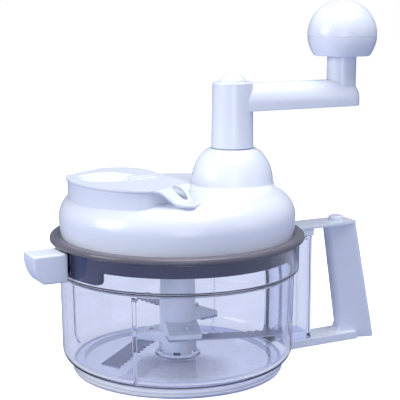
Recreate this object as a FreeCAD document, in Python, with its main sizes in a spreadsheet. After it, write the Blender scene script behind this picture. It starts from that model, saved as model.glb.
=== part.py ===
import FreeCAD, Part
import Sketcher
import math
import os
import re

# Hand-cranked food chopper, in millimetres. The origin is the centre of the foot's underside.
# +Z is up and +X points to the bowl handle; the locking tab is on the opposite side, at -X.

SIZES = [
    # Bowl: a clear cup with a wider neck, a flat floor and a pivot boss in its centre.
    ("bowl_radius", 81.4, "outside of the bowl wall just under the shoulder"),
    ("bowl_taper", 1.2, "how much narrower the bowl is above its bottom corner"),
    ("bowl_foot_radius", "=bowl_radius - bowl_taper",
     "outside of the bowl wall at the top of the bottom corner"),
    ("bowl_corner", 11, "radius of the bottom corner"),
    ("bowl_wall", 2.4, "wall of the bowl and its neck"),
    ("bowl_floor", 3, "floor of the bowl"),
    ("shoulder_height", 69.5, "underside of the shoulder that carries the neck"),
    ("shoulder_rise", 2.4, "height of the shoulder"),
    ("neck_step", 3, "step from the wall out to the neck"),
    ("neck_radius", "=bowl_radius + neck_step", "outside of the neck"),
    ("neck_height", 22, "height of the neck over the shoulder"),
    ("neck_top", "=shoulder_height + neck_height", "lip of the neck"),
    ("notch_width", 16, "slot in the neck for the tab's stem"),
    ("notch_depth", 15.5, "depth of that slot from the lip"),
    ("notch_floor", "=neck_top - notch_depth", "bottom of that slot"),
    ("rib_depth", 1.3, "how far the stirring ribs stand in from the wall"),
    ("rib_width", 2.6, "width of the stirring ribs"),
    ("bowl_inner_corner", 8, "inside radius of the bottom corner"),
    ("inner_shoulder_rise", 0.8, "height of the step inside the shoulder"),
    ("rib_gap", 2.5, "rest of the wall over the stirring ribs"),
    ("rib_top", "=shoulder_height - rib_gap", "upper end of the stirring ribs"),
    ("rib_angle", 42.5, "turn of each stirring rib from the tab's side"),
    ("rib_angle_front", 137.5, "turn of the ribs beside the handle from the tab's side"),
    ("boss_radius", 8, "pivot boss on the floor"),
    ("boss_rise", 3, "height of the pivot boss over the floor"),
    ("ring_wall", 1.3, "low ring on the floor round the blade shaft's foot"),
    ("ring_rise", 1.6, "height of that ring"),
    ("pin_radius", 4, "steel pivot pin"),
    ("pin_rise", 28, "how far the pivot pin stands over the foot"),
    ("pin_top", "=foot_height + pin_rise", "tip of the pivot pin"),
    ("pin_seat", 1.6, "floor left under the pivot pin"),
    # Foot: a soft disc with a grooved rim under the bowl.
    ("foot_inset", 6.8, "how far the foot stands in from the bowl's wall"),
    ("foot_radius", "=bowl_foot_radius - foot_inset", "outside of the foot"),
    ("foot_height", 6, "top of the foot, where the bowl stands"),
    ("foot_sole", 2.2, "sole of the foot"),
    ("foot_rim", 8, "width of the foot's rim"),
    ("foot_groove", 0.7, "depth of the groove round the rim"),
    # Handle: bracket on the bowl, C-shaped grip and the strap that closes it.
    ("bracket_lift", 0.2, "how far the bracket ends over the foot"),
    ("bracket_bottom", "=foot_height + bracket_lift", "lower end of the bracket"),
    ("bracket_gap", 0.8, "wall between the neck and the bracket's hollow"),
    ("bracket_hollow", "=neck_radius + bracket_gap", "inner end of the bracket's hollow, from the axis"),
    ("bracket_depth", 20.1, "depth of the bracket from its hollow's inner end"),
    ("bracket_reach", "=bracket_hollow + bracket_depth", "outer face of the bracket from the axis"),
    ("bracket_width", 21, "width of the bracket"),
    ("bracket_wall", 2.6, "walls of the bracket"),
    ("bracket_drop", 7.5, "how far the bracket ends under the neck's lip"),
    ("bracket_top", "=neck_top - bracket_drop", "top of the bracket"),
    ("handle_width", 22, "width of the bar and the strap"),
    ("handle_bottom", 0.4, "underside of the bar over the table"),
    ("bar_thickness", 5.5, "thickness of the lower bar"),
    ("strap_top", "=neck_top", "top face of the strap"),
    ("strap_thickness", 2.4, "thickness of the strap"),
    ("strap_gap", 1, "gap between the neck and the strap"),
    ("strap_start", "=neck_radius + strap_gap", "inner end of the strap, beside the neck"),
    ("grip_depth_top", 23, "depth of the grip at the strap"),
    ("grip_outer_top", "=grip_inner_top + grip_depth_top", "outer face of the grip at the strap"),
    ("grip_depth_bottom", 27.5, "depth of the grip at the bar"),
    ("grip_outer_bottom", "=grip_inner_bottom + grip_depth_bottom", "outer face of the grip at the bar"),
    ("grip_lean", 14, "how far the grip leans outwards from strap to bar"),
    ("grip_inner_top", "=grip_inner_bottom - grip_lean", "inner nose of the grip at the strap"),
    ("finger_room", 30.7, "room for the fingers at the bar"),
    ("grip_inner_bottom", "=bracket_reach + finger_room", "inner nose of the grip at the bar"),
    ("grip_nose", 5.5, "half width of the grip's inner nose"),
    ("grip_edge", 3.5, "rounding of the grip's outer edges"),
    ("gusset_radius", 5, "hollow rounding between grip and bar"),
    ("gusset_height", 5.5, "height of that rounding on the grip"),
    ("block_inset", 0.8, "step of the blocks from the bracket's inner wall"),
    ("block_start", "=bracket_hollow + block_inset", "inner end of the blocks above and below the bracket"),
    ("block_overhang", 1.2, "how far the blocks pass the bracket"),
    ("block_end", "=bracket_reach + block_overhang", "outer end of those blocks"),
    ("tongue_rise", 6, "height of the handle's tongue in the bracket"),
    ("tongue_fit", 0.2, "gap round that tongue"),
    ("cap_radius", 5.8, "button over the handle screw"),
    ("cap_rise", 3.6, "height of that button"),
    ("screw_inset", 11, "handle screw from the grip's inner nose"),
    ("screw_place", "=grip_inner_top + screw_inset", "handle screw from the axis"),
    ("screw_radius", 2, "shank of the handle screw"),
    ("screw_head", 4, "head of the handle screw"),
    ("screw_head_rise", 2.4, "height of the handle screw's head"),
    ("screw_length", 16, "length of the handle screw in the grip"),
    ("cap_fit", 0.4, "gap between the button and the screw's head"),
    # Locking ring between the bowl and the lid, with its tab.
    ("rim_overhang", 3.6, "how far the rim passes the neck"),
    ("rim_radius", "=neck_radius + rim_overhang", "outside of the rim"),
    ("rim_gap", 0.3, "gap between the neck's lip and the rim"),
    ("rim_bottom", "=neck_top + rim_gap", "underside of the rim, over the neck's lip"),
    ("rim_thickness", 4.1, "thickness of the rim"),
    ("rim_top", "=rim_bottom + rim_thickness", "crown of the rim"),
    ("lid_fit", 0.6, "gap between the lid and the ring round it"),
    ("rim_inner", "=lid_base_radius + lid_fit", "opening of the ring round the lid"),
    ("skirt_fit", 0.5, "gap between skirt and neck"),
    ("skirt_wall", 2.5, "thickness of the skirt's lower edge"),
    ("rim_round_low", 1.2, "rounding of the rim's lower edge"),
    ("rim_round", 1.8, "rounding of the rim's crown"),
    ("skirt_depth", 9.5, "how far the skirt reaches into the neck"),
    ("skirt_bottom", "=neck_top - skirt_depth", "lower edge of the skirt"),
    ("ledge_drop", 3.8, "depth of the lid's seat under the rim"),
    ("ledge_top", "=rim_bottom - ledge_drop", "seat of the lid inside the ring"),
    ("ledge_width", 5.2, "width of that seat"),
    ("ledge_thickness", 2, "thickness of that seat"),
    ("apron_depth", 8.4, "how far the apron passes the skirt"),
    ("apron_bottom", "=skirt_bottom - apron_depth", "lower edge of the deep apron at the tab"),
    ("apron_angle", 26, "half angle of the apron"),
    ("stem_width", 11, "stem of the tab through the neck's slot"),
    ("stem_drop", 14.5, "underside of the stem under the neck's lip"),
    ("stem_bottom", "=neck_top - stem_drop", "underside of the stem"),
    ("stem_height", 10, "height of the stem"),
    ("stem_depth", 4.4, "how far the stem starts inside the neck"),
    ("stem_root", "=neck_radius - stem_depth", "inner end of the stem from the axis"),
    ("stem_grip", 4.2, "how far the stem reaches into the tab"),
    ("stem_end", "=tab_inner + stem_grip", "outer end of the stem in the tab"),
    ("tab_fit", 1.6, "gap between the neck and the tab"),
    ("tab_inner", "=neck_radius + tab_fit", "hollow inner face of the tab from the axis"),
    ("tab_length", 22.8, "length of the tab"),
    ("tab_reach", "=tab_inner + tab_length", "outer end of the tab"),
    ("tab_width", 21.5, "width of the tab"),
    ("tab_drop", 0.3, "how far the tab's top lies under the neck's lip"),
    ("tab_top", "=neck_top - tab_drop", "top of the tab"),
    ("tab_height", 19.5, "height of the tab"),
    ("tab_bottom", "=tab_top - tab_height", "underside of the tab"),
    ("tab_face", 3, "upright part of the tab's outer face"),
    ("tab_tuck", 6.5, "how far that face curves inwards below it"),
    ("tab_edge", 1.6, "rounding of the tab's edges"),
    # Lid: shell with a gear dome, a feed chute and bosses inside.
    ("lid_belly", 1.9, "how far the lid swells over its lower edge"),
    ("lid_radius", "=lid_base_radius + lid_belly", "widest outside radius of the lid"),
    ("lid_inset", 4.8, "how far the lid's lower edge stands in from the neck"),
    ("lid_base_radius", "=neck_radius - lid_inset", "outside of the lid's lower edge"),
    ("lid_base_rise", 6.2, "height of the upright part of the lid's lower edge"),
    ("lid_shoulder", 18.5, "rounding of the lid's shoulder"),
    ("lid_wide_rise", 20, "height of the widest place over the seat"),
    ("lid_wide_height", "=ledge_top + lid_wide_rise", "height of the widest place"),
    ("lid_wall", 2.4, "wall of the lid"),
    ("lid_seam", 0.1, "seam round the dome and the chute"),
    ("crank_offset", "=gear_module * (gear_teeth + pinion_teeth) / 2", "crank axis from the bowl axis"),
    ("dome_radius", 28.8, "gear dome"),
    ("dome_lift", 20.5, "dome's centre over the lid's widest place"),
    ("dome_centre", "=lid_wide_height + dome_lift", "centre of the dome's sphere"),
    ("dome_rise", 22.9, "flat top of the dome over its centre"),
    ("dome_top", "=dome_centre + dome_rise", "flat top of the dome"),
    ("tower_radius", 11, "bearing tower inside the dome"),
    ("tower_drop", 11.5, "lower end of the tower under the dome's centre"),
    ("tower_bottom", "=dome_centre - tower_drop", "lower end of the bearing tower"),
    ("bush_radius", 8, "bearing bush in the tower"),
    ("bush_flange", 10.4, "flange of the bush under the tower"),
    ("bush_flange_thickness", 2.2, "thickness of that flange"),
    ("chute_inner", 27, "inner wall of the chute from the bowl axis"),
    ("chute_inset", 6, "chute's outer wall from the lid's widest place"),
    ("chute_centre", 6.5, "middle of the chute's outer wall from the bowl axis"),
    ("chute_outer", "=lid_radius - chute_inset - chute_centre", "radius of the chute's outer wall"),
    ("chute_front", 54, "front side of the chute from the bowl axis"),
    ("chute_back", 47, "back side of the chute from the bowl axis"),
    ("chute_corner", 16, "rounding between the chute's sides and its inner wall"),
    ("chute_round", 14, "rounding between the chute's sides and its outer wall"),
    ("chute_wall", 2, "wall of the chute"),
    ("chute_rise", 26.4, "chute's edge over the lid's widest place"),
    ("chute_top", "=lid_wide_height + chute_rise", "upper edge of the chute"),
    ("chute_lift", 0.4, "chute's lower edge over the cover's underside"),
    ("chute_bottom", "=cover_bottom + chute_lift", "lower edge of the chute"),
    ("hub_radius", 9, "boss inside the lid that holds the pinion's upper journal"),
    ("hub_gap", 1, "gap between the gear and that boss"),
    ("hub_bottom", "=gear_bottom + gear_thickness + hub_gap", "lower end of that boss"),
    ("post_radius", 4.4, "screw post inside the lid"),
    ("post_inset", 8.5, "screw posts from the cover's edge"),
    ("post_place", "=cover_radius - post_inset", "screw posts from the bowl axis"),
    ("post_turn_front", 41, "turn of the posts beside the crank"),
    ("post_turn_rear", 94, "turn of the posts beside the chute"),
    ("cover_lift", 10.6, "cover's underside over the lid's seat"),
    ("cover_bottom", "=ledge_top + cover_lift", "underside of the gear cover"),
    ("cover_thickness", 2.4, "thickness of the gear cover"),
    ("cover_fit", 0.4, "gap between the gear cover and its surroundings"),
    ("cover_inset", 2.6, "cover's edge from the lid's outside"),
    ("cover_radius", "=lid_base_radius - cover_inset", "outside of the gear cover"),
    ("cover_collar", 12.4, "collar of the gear cover round the pinion's journal"),
    ("cover_cup", 7.5, "cup of the gear cover under the spindle"),
    ("cover_cup_drop", 3, "how far that cup hangs under the cover"),
    ("cover_screw", 1.5, "shank radius of the cover screws"),
    ("cover_screw_head", 3, "head radius of the cover screws"),
    ("cover_screw_head_rise", 2, "height of their heads"),
    ("cover_screw_length", 9, "length of their shanks"),
    # Gear train: drive gear on the crank, pinion on the bowl axis.
    ("gear_module", 1.5, "module of both gears"),
    ("gear_teeth", 42, "teeth of the drive gear"),
    ("pinion_teeth", 16, "teeth of the pinion"),
    ("pressure_angle", 20, "pressure angle of the teeth, in degrees"),
    ("tooth_backlash", 0.3, "play between two meshing flanks"),
    ("gear_lift", 5.6, "gear's lower face over the cover's underside"),
    ("gear_bottom", "=cover_bottom + gear_lift", "lower face of the drive gear"),
    ("gear_thickness", 7, "face width of the drive gear"),
    ("pinion_overhang", 0.5, "how far the pinion's teeth pass the gear's on each side"),
    ("web_recess", 2, "depth of the dished web of the drive gear"),
    ("gear_rim", 4, "solid rim of the drive gear under its teeth"),
    ("gear_hub", 9.5, "hub of the drive gear"),
    ("journal_upper", 6, "upper journal of the pinion"),
    ("journal_lower", 9.4, "lower journal of the pinion"),
    ("running_fit", 0.06, "radial play of every shaft in its bearing"),
    ("hex_across", 10, "width across flats of the drive hexagons"),
    ("hex_fit", 0.15, "play between a hexagon and its socket, per side"),
    ("socket_depth", 11.4, "depth of the pinion's socket"),
    ("journal_upper_length", 9.5, "length of the pinion's upper journal"),
    ("gear_hub_drop", 2.2, "how far the gear's hub passes its lower face"),
    ("gear_hub_rise", 1, "how far the gear's hub passes its upper face"),
    ("gear_hex", 12, "width across flats of the gear's seat on the spindle"),
    ("holes_in_web", 6, "lightening holes in the gear's web"),
    ("web_hole", 4.6, "radius of those holes"),
    ("web_hole_place", 18, "lightening holes from the gear's axis"),
    ("tooth_root", 1.25, "depth of the teeth under the pitch circle, in modules"),
    ("gear_gap_reach", 1.3, "outer end of the tooth gaps over the pitch circle, in modules"),
    # Crank: column, half-round arm, post and knob.
    ("column_foot_radius", 14.9, "column at the dome"),
    ("column_top_radius", 14.1, "column at its top"),
    ("column_gap", 0.5, "gap between the dome and the column"),
    ("column_foot", "=dome_top + column_gap", "lower end of the column"),
    ("column_height", 45.7, "height of the column"),
    ("column_top", "=column_foot + column_height", "upper end of the column"),
    ("arm_half_width", 13.6, "half width of the arm, and the radius of its round back"),
    ("arm_height", 19, "height of the arm"),
    ("arm_bottom", "=arm_top - arm_height", "underside of the arm"),
    ("arm_drop", 1.2, "back of the arm under the column's top"),
    ("arm_top", "=column_top - arm_drop", "back of the arm"),
    ("arm_wall", 2.6, "wall of the arm round its hollow underside"),
    ("arm_length", 91.5, "knob axis from the crank axis"),
    ("knob_post", 10.7, "post that carries the knob"),
    ("post_rise", 16.7, "height of the post over the arm"),
    ("post_top", "=arm_top + post_rise", "upper end of the post"),
    ("spindle_radius", 5.6, "crank spindle in its bush"),
    ("spindle_hex", 9, "width across flats of the spindle in the column"),
    ("spindle_flange", 8.6, "flange of the spindle over the gear"),
    ("spindle_grip", 22, "length of the hexagon inside the column"),
    ("spindle_journal", 4, "lower journal of the spindle"),
    ("journal_seat", 1.4, "bottom of the cup under the spindle"),
    ("screw_head_depth", 4, "counterbore of the crank screw"),
    ("crank_screw_head", 5, "head of the crank screw"),
    ("crank_screw", 2, "shank of the crank screw"),
    ("crank_screw_length", 34, "length of that shank"),
    ("column_edge", 1.2, "rounding of the column's top edge"),
    ("crank_cap_radius", 9.2, "cap on the column"),
    ("crank_cap_rise", 6.2, "height of the cap"),
    # Knob: two shells on a headed pin.
    ("knob_radius", 25.2, "knob"),
    ("knob_lift", 15.1, "knob's centre over its underside"),
    ("knob_centre", "=knob_bottom + knob_lift", "centre of the knob's sphere"),
    ("knob_gap", 0.3, "gap between the post and the knob"),
    ("knob_bottom", "=post_top + knob_gap", "flat underside of the knob"),
    ("split_drop", 1.3, "parting line under the knob's centre"),
    ("knob_split", "=knob_centre - split_drop", "parting line of the knob"),
    ("knob_wall", 2.4, "wall of the knob"),
    ("knob_pin", 5, "headed pin in the post"),
    ("knob_pin_head", 8, "head of that pin"),
    ("knob_pin_head_rise", 2, "height of that head"),
    ("knob_hub", 9, "hub of the knob on the pin"),
    ("hub_drop", 3.5, "hub's upper end under the knob's centre"),
    ("hub_top", "=knob_centre - hub_drop", "upper end of the knob's hub"),
    ("pin_depth", 14, "depth of the pin in the post"),
    ("lip_height", 2, "locating lip between the knob's shells"),
    # Blade shaft with three wings and three serrated blades.
    ("shaft_foot_radius", 13.2, "blade shaft at its foot"),
    ("shaft_neck_radius", 12, "blade shaft under the lid"),
    ("shaft_lift", 4.2, "shaft's lower end over the foot"),
    ("shaft_foot", "=foot_height + shaft_lift", "lower end of the blade shaft"),
    ("neck_length", 16.4, "straight part of the shaft"),
    ("shaft_neck", "=shaft_top - neck_length", "top of the tapered part"),
    ("shaft_gap", 2.2, "shoulder of the shaft under the cover"),
    ("shaft_top", "=cover_bottom - shaft_gap", "shoulder under the hexagon"),
    ("shaft_wall", 1.8, "wall of the blade shaft"),
    ("sleeve_wall", 2.2, "wall of the sleeve on the pivot pin"),
    ("axial_play", 0.3, "gap between the sleeve's crown and the pin"),
    ("crown", 3, "thickness of the shaft's crown and web"),
    ("castle_depth", 2.4, "notches in the shaft's foot"),
    ("castle_width", 5, "width of those notches"),
    ("castle_count", 6, "number of those notches"),
    ("blade_lift", 12, "lowest blade over the foot"),
    ("first_blade", "=foot_height + blade_lift", "underside of the lowest blade"),
    ("blade_step", 7.2, "rise from blade to blade"),
    ("blade_turn", 120, "turn from blade to blade"),
    ("blade_start", 223, "direction of the lowest blade from +X"),
    ("blade_thickness", 1, "blade sheet"),
    ("blade_inner", 13.6, "serrated edge from the shaft's axis"),
    ("blade_outer", 28, "plain edge from the shaft's axis"),
    ("blade_root", 11, "how far the blade reaches back past the axis"),
    ("tip_slant", 5, "how far the blade's tip slants back"),
    ("blade_reach", "=blade_tip - tip_slant", "plain edge's tip along the blade"),
    ("tip_gap", 3.5, "gap between the blades' tips and the bowl's wall"),
    ("blade_tip", "=sqrt((bowl_foot_radius - bowl_wall - tip_gap) ^ 2 - blade_inner ^ 2)",
     "serrated edge's tip along the blade"),
    ("serration_end", 5.6, "last serration from the tip"),
    ("serration_pitch", "=(blade_tip - serration_start - serration_end) / (serration_count - 1)",
     "pitch of the serrations"),
    ("serration_depth", 1.5, "depth of the serrations"),
    ("serration_start", 17, "first serration along the blade"),
    ("serration_count", 13, "serrations on one blade"),
    ("wing_front", 12, "end of the wing along the blade"),
    ("wing_edge", 3.4, "height of the wing's outer face"),
    ("wing_rise", 8, "height of the wing at the shaft"),
    ("stake_radius", 2.2, "stake that holds the blade"),
    ("stake_place", 19.5, "stake from the shaft's axis, across the blade"),
    ("stake_along", 3, "stake from the shaft's axis, along the blade"),
    ("stake_rise", 8.4, "top of the stake over the blade's underside"),
    ("wing_shoulder", 12, "inner end of the wing's slope, across the blade"),
    ("serration_gap", 0.3, "flat left between two serrations"),
    # Egg separator lying on the chute.
    ("tray_thickness", 1.6, "plate of the separator"),
    ("tray_lip", 1.2, "overhang of the separator past the chute"),
    ("tray_seat", 0.2, "gap between the separator and the chute's edge"),
    ("plug_depth", 5, "skirt of the separator inside the chute"),
    ("plug_fit", 0.6, "gap between that skirt and the chute"),
    ("plug_wall", 1.6, "wall of that skirt"),
    ("cup_shift", 1.8, "yolk cup from the middle of the chute"),
    ("cup_place", "=(chute_inner + chute_centre + chute_outer) / 2 - cup_shift",
     "centre of the yolk cup from the bowl axis"),
    ("cup_side", 8, "centre of the yolk cup across the chute"),
    ("cup_radius", 20, "rim of the yolk cup"),
    ("cup_sphere", 29, "curvature of the yolk cup"),
    ("cup_wall", 1.3, "wall of the yolk cup"),
    ("bar_reach", 12.5, "how far the bar reaches into the chute"),
    ("bar_start", "=chute_inner + bar_reach", "free end of the raised bar from the bowl axis"),
    ("bar_tail", 10, "how far the bar's other end passes the chute"),
    ("bar_end", "=chute_inner - bar_tail", "other end of the raised bar from the bowl axis"),
    ("bar_near", 4, "near side of the bar from the middle of the chute"),
    ("bar_far", 1.5, "far side of the bar from the middle of the chute"),
    ("bar_rise", 1.4, "height of the raised bar over the plate"),
    ("slot_width", 3, "slot round the bar's free end"),
    ("slot_tail", 3, "how far the slot passes the chute's inner wall"),
    ("slot_reach", "=chute_inner - slot_tail", "narrow end of the slot from the bowl axis"),
    ("slot_bulge", 8, "widest part of the slot beside the bar"),
    ("tray_end", 11, "inner edge of the tray from the bowl axis"),
    ("tray_corner", 22, "rounding between that edge and the tray's sides"),
    ("tongue_turn", 300, "direction in which the tongue falls, from +X"),
    ("tongue_tail", 12, "part of the tongue inside the tray"),
    ("tongue_start", 27.5, "beginning of the tongue's fall from the bowl axis"),
    ("tongue_root", "=tongue_start - tongue_tail", "inner end of the tongue inside the tray"),
    ("tongue_run", 19, "length of the tongue along its fall"),
    ("tongue_tip", "=tongue_start + tongue_run", "tip of the tongue from the bowl axis"),
    ("tongue_side", 50.5, "middle of the tongue across its fall"),
    ("tongue_half", 9, "half width of the tongue at its tip"),
    ("tongue_flare", 15.5, "half width of the tongue at its root"),
    ("tongue_slope", 42, "angle of the tongue's slope"),
    ("tongue_bend", 3.5, "rounding at both ends of that slope"),
    ("tongue_drop", 7.9, "fall of the tongue from the tray to the lid"),
    ("hole_inset", 4.5, "oval hole from the beginning of the fall"),
    ("tongue_hole_place", "=tongue_start + hole_inset", "oval hole from the bowl axis"),
    ("tongue_hole_side", 46, "oval hole across the fall"),
    ("tongue_hole_length", 10.4, "length of the oval hole"),
    ("tongue_hole_width", 8.4, "width of the oval hole"),
]

NAMES = {name for name, value, note in SIZES}

doc = FreeCAD.newDocument("CrankFoodChopper")
sheet = doc.addObject("Spreadsheet::Sheet", "Sizes")
for row, (name, value, note) in enumerate(SIZES, start=1):
    sheet.set("A%d" % row, note)
    sheet.setAlias("B%d" % row, name)
for row, (name, value, note) in enumerate(SIZES, start=1):
    sheet.set("B%d" % row, str(value))
doc.recompute()

parts = []


def formula(text):
    """The text with each size name turned into a reference to its cell."""
    return re.sub(r"[a-z_]+", lambda word: "Sizes." + word.group() if word.group() in NAMES else word.group(),
                  str(text))


def number(text):
    """The value of a formula now, as a plain number."""
    value = sheet.evalExpression(formula(text))
    return float(getattr(value, "Value", value))


def bind(thing, path, text):
    """Tie a property or a constraint to a formula."""
    thing.setExpression(path, formula(text))


def new_body(label, axis="0"):
    """An empty PartDesign body that becomes one sub-part, drawn about an upright axis at x = axis."""
    body = doc.addObject("PartDesign::Body", label)
    body.Label = label
    bind(body, "Placement.Base.x", axis)
    parts.append(body)
    return body


def sketch_on(body, role, height="0", turn="0", shift="0", across="0"):
    """A sketch on one of the body's origin planes. It is raised by height and turned about +Z.
    An upright plane is also moved along its turned normal by shift and sideways by across."""
    sketch = body.newObject("Sketcher::SketchObject", body.Name + "_sketch")
    plane = next(item for item in body.Origin.OriginFeatures if item.Role == role)
    sketch.AttachmentSupport = [(plane, "")]
    sketch.MapMode = "FlatFace"
    flat = role == "XY_Plane"
    if turn != "0":
        upward = FreeCAD.Vector(0, 0, 1) if flat else FreeCAD.Vector(0, 1, 0)
        sketch.AttachmentOffset = FreeCAD.Placement(FreeCAD.Vector(), FreeCAD.Rotation(upward, 1))
        bind(sketch, "AttachmentOffset.Rotation.Angle", turn)
    if flat:
        bind(sketch, "AttachmentOffset.Base.z", height)
    else:
        bind(sketch, "AttachmentOffset.Base.x", "(%s) + (%s) * sin(%s)" % (across, shift, turn))
        bind(sketch, "AttachmentOffset.Base.y", height)
        bind(sketch, "AttachmentOffset.Base.z", "(%s) * cos(%s)" % (shift, turn))
    return sketch


def pin_point(sketch, item, end, x, y):
    """Fix one end of a line or an arc at (x, y)."""
    for axis, kind, text in ((-2, "DistanceX", x), (-1, "DistanceY", y)):
        if str(text) == "0":
            sketch.addConstraint(Sketcher.Constraint("PointOnObject", item, end, axis))
            continue
        index = sketch.addConstraint(Sketcher.Constraint(kind, -1, 1, item, end, number(text)))
        bind(sketch, "Constraints[%d]" % index, text)


def outline(sketch, corners):
    """A closed outline. A corner is (x, y), or (x, y, bend) where the side that leaves it is an arc:
    bend is its radius, with a minus sign where the arc turns clockwise."""
    items = []
    for index, corner in enumerate(corners):
        following = corners[(index + 1) % len(corners)]
        start = FreeCAD.Vector(number(corner[0]), number(corner[1]), 0)
        end = FreeCAD.Vector(number(following[0]), number(following[1]), 0)
        if len(corner) == 2:
            item = sketch.addGeometry(Part.LineSegment(start, end), False)
            items.append((item, 1, 2))
            continue
        bend = str(corner[2])
        clockwise = bend.startswith("-")
        radius = number(bend.lstrip("-"))
        if clockwise:
            start, end = end, start
        chord = end - start
        side = FreeCAD.Vector(-chord.y, chord.x, 0).normalize()
        depth = math.sqrt(max(radius ** 2 - (chord.Length / 2) ** 2, 0))
        centre = (start + end) * 0.5 + side * depth
        first = math.atan2(start.y - centre.y, start.x - centre.x)
        last = math.atan2(end.y - centre.y, end.x - centre.x)
        circle = Part.Circle(centre, FreeCAD.Vector(0, 0, 1), radius)
        item = sketch.addGeometry(Part.ArcOfCircle(circle, first, last), False)
        items.append((item, 2, 1) if clockwise else (item, 1, 2))
    for index, corner in enumerate(corners):
        item, head, tail = items[index]
        next_item, next_head, next_tail = items[(index + 1) % len(corners)]
        sketch.addConstraint(Sketcher.Constraint("Coincident", item, tail, next_item, next_head))
        pin_point(sketch, item, head, corner[0], corner[1])
        if len(corner) == 3:
            bend = str(corner[2]).lstrip("-")
            bound = sketch.addConstraint(Sketcher.Constraint("Radius", item, number(bend)))
            bind(sketch, "Constraints[%d]" % bound, bend)


def circle(sketch, x, y, radius):
    """A circle of a given radius around (x, y)."""
    centre = FreeCAD.Vector(number(x), number(y), 0)
    item = sketch.addGeometry(Part.Circle(centre, FreeCAD.Vector(0, 0, 1), number(radius)), False)
    pin_point(sketch, item, 3, x, y)
    bound = sketch.addConstraint(Sketcher.Constraint("Radius", item, number(radius)))
    bind(sketch, "Constraints[%d]" % bound, radius)


def hexagon(sketch, across):
    """A hexagon about the sketch's origin, with its corners on the Y axis."""
    corners = []
    for turn in range(6):
        angle = 30 + 60 * turn
        corners.append(("(%s) / 2 / cos(30) * cos(%d)" % (across, angle) if angle % 180 != 90 else "0",
                        "(%s) / 2 / cos(30) * sin(%d)" % (across, angle)))
    outline(sketch, corners)


def extrude(body, kind, sketch, length, backwards=False, both=False):
    """A pad or a pocket of a sketch, by a length along its normal, or half of it each way."""
    feature = body.newObject("PartDesign::" + kind, body.Name + "_" + kind.lower())
    feature.Profile = sketch
    feature.Midplane = both
    feature.Reversed = backwards
    bind(feature, "Length", length)
    return feature


def turn_profile(body, kind, sketch):
    """A revolution or a groove of a sketch about its vertical axis."""
    feature = body.newObject("PartDesign::" + kind, body.Name + "_" + kind.lower())
    feature.Profile = sketch
    feature.ReferenceAxis = (sketch, ["V_Axis"])
    feature.Angle = 360
    return feature


def repeat_round(body, feature, count):
    """Copies of a feature spread evenly about the body's Z axis."""
    pattern = body.newObject("PartDesign::PolarPattern", body.Name + "_pattern")
    pattern.Originals = [feature]
    axis = next(item for item in body.Origin.OriginFeatures if item.Role == "Z_Axis")
    pattern.Axis = (axis, [""])
    pattern.Angle = 360
    bind(pattern, "Occurrences", count)
    body.Tip = pattern
    return pattern


def round_edges(body, feature, radius, wanted):
    """Round the feature's edges that the test 'wanted' picks."""
    doc.recompute()
    names = ["Edge%d" % (index + 1) for index, edge in enumerate(feature.Shape.Edges) if wanted(edge)]
    fillet = body.newObject("PartDesign::Fillet", body.Name + "_fillet")
    fillet.Base = (feature, names)
    bind(fillet, "Radius", radius)
    return fillet


def chute_outline(inner, corner, inset):
    """Corners of the chute seen from above: upright inner wall, two straight sides and a round outer
    wall. inner and corner belong to the inner wall, and all of it stands in by inset."""
    outer = "(chute_outer - (%s))" % inset
    rounding = "(chute_round - (%s))" % inset
    bend = "(%s - (%s))" % (corner, inset)
    wall = "(%s + (%s))" % (inner, inset)

    def side(reach, sign):
        half = "(%s - (%s))" % (reach, inset)
        rise = "(%s - chute_round)" % reach
        along = "sqrt((chute_outer - chute_round) ^ 2 - %s ^ 2)" % rise
        grow = "%s / (chute_outer - chute_round)" % outer
        return [("-chute_centre - %s * %s" % (along, grow), "%s%s * %s" % (sign, rise, grow)),
                ("-chute_centre - " + along, sign + half),
                ("-%s - %s" % (wall, bend), sign + half),
                ("-" + wall, "%s(%s - %s)" % (sign, half, bend))]

    back = side("chute_back", "")
    front = side("chute_front", "-")
    return [back[0] + (outer,), front[0] + (rounding,), front[1], front[2] + (bend,),
            front[3], back[3] + (bend,), back[2], back[1] + (rounding,)]


def rectangle(left, right, low, high):
    """Corners of an upright rectangle."""
    return [(left, low), (right, low), (right, high), (left, high)]


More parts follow.
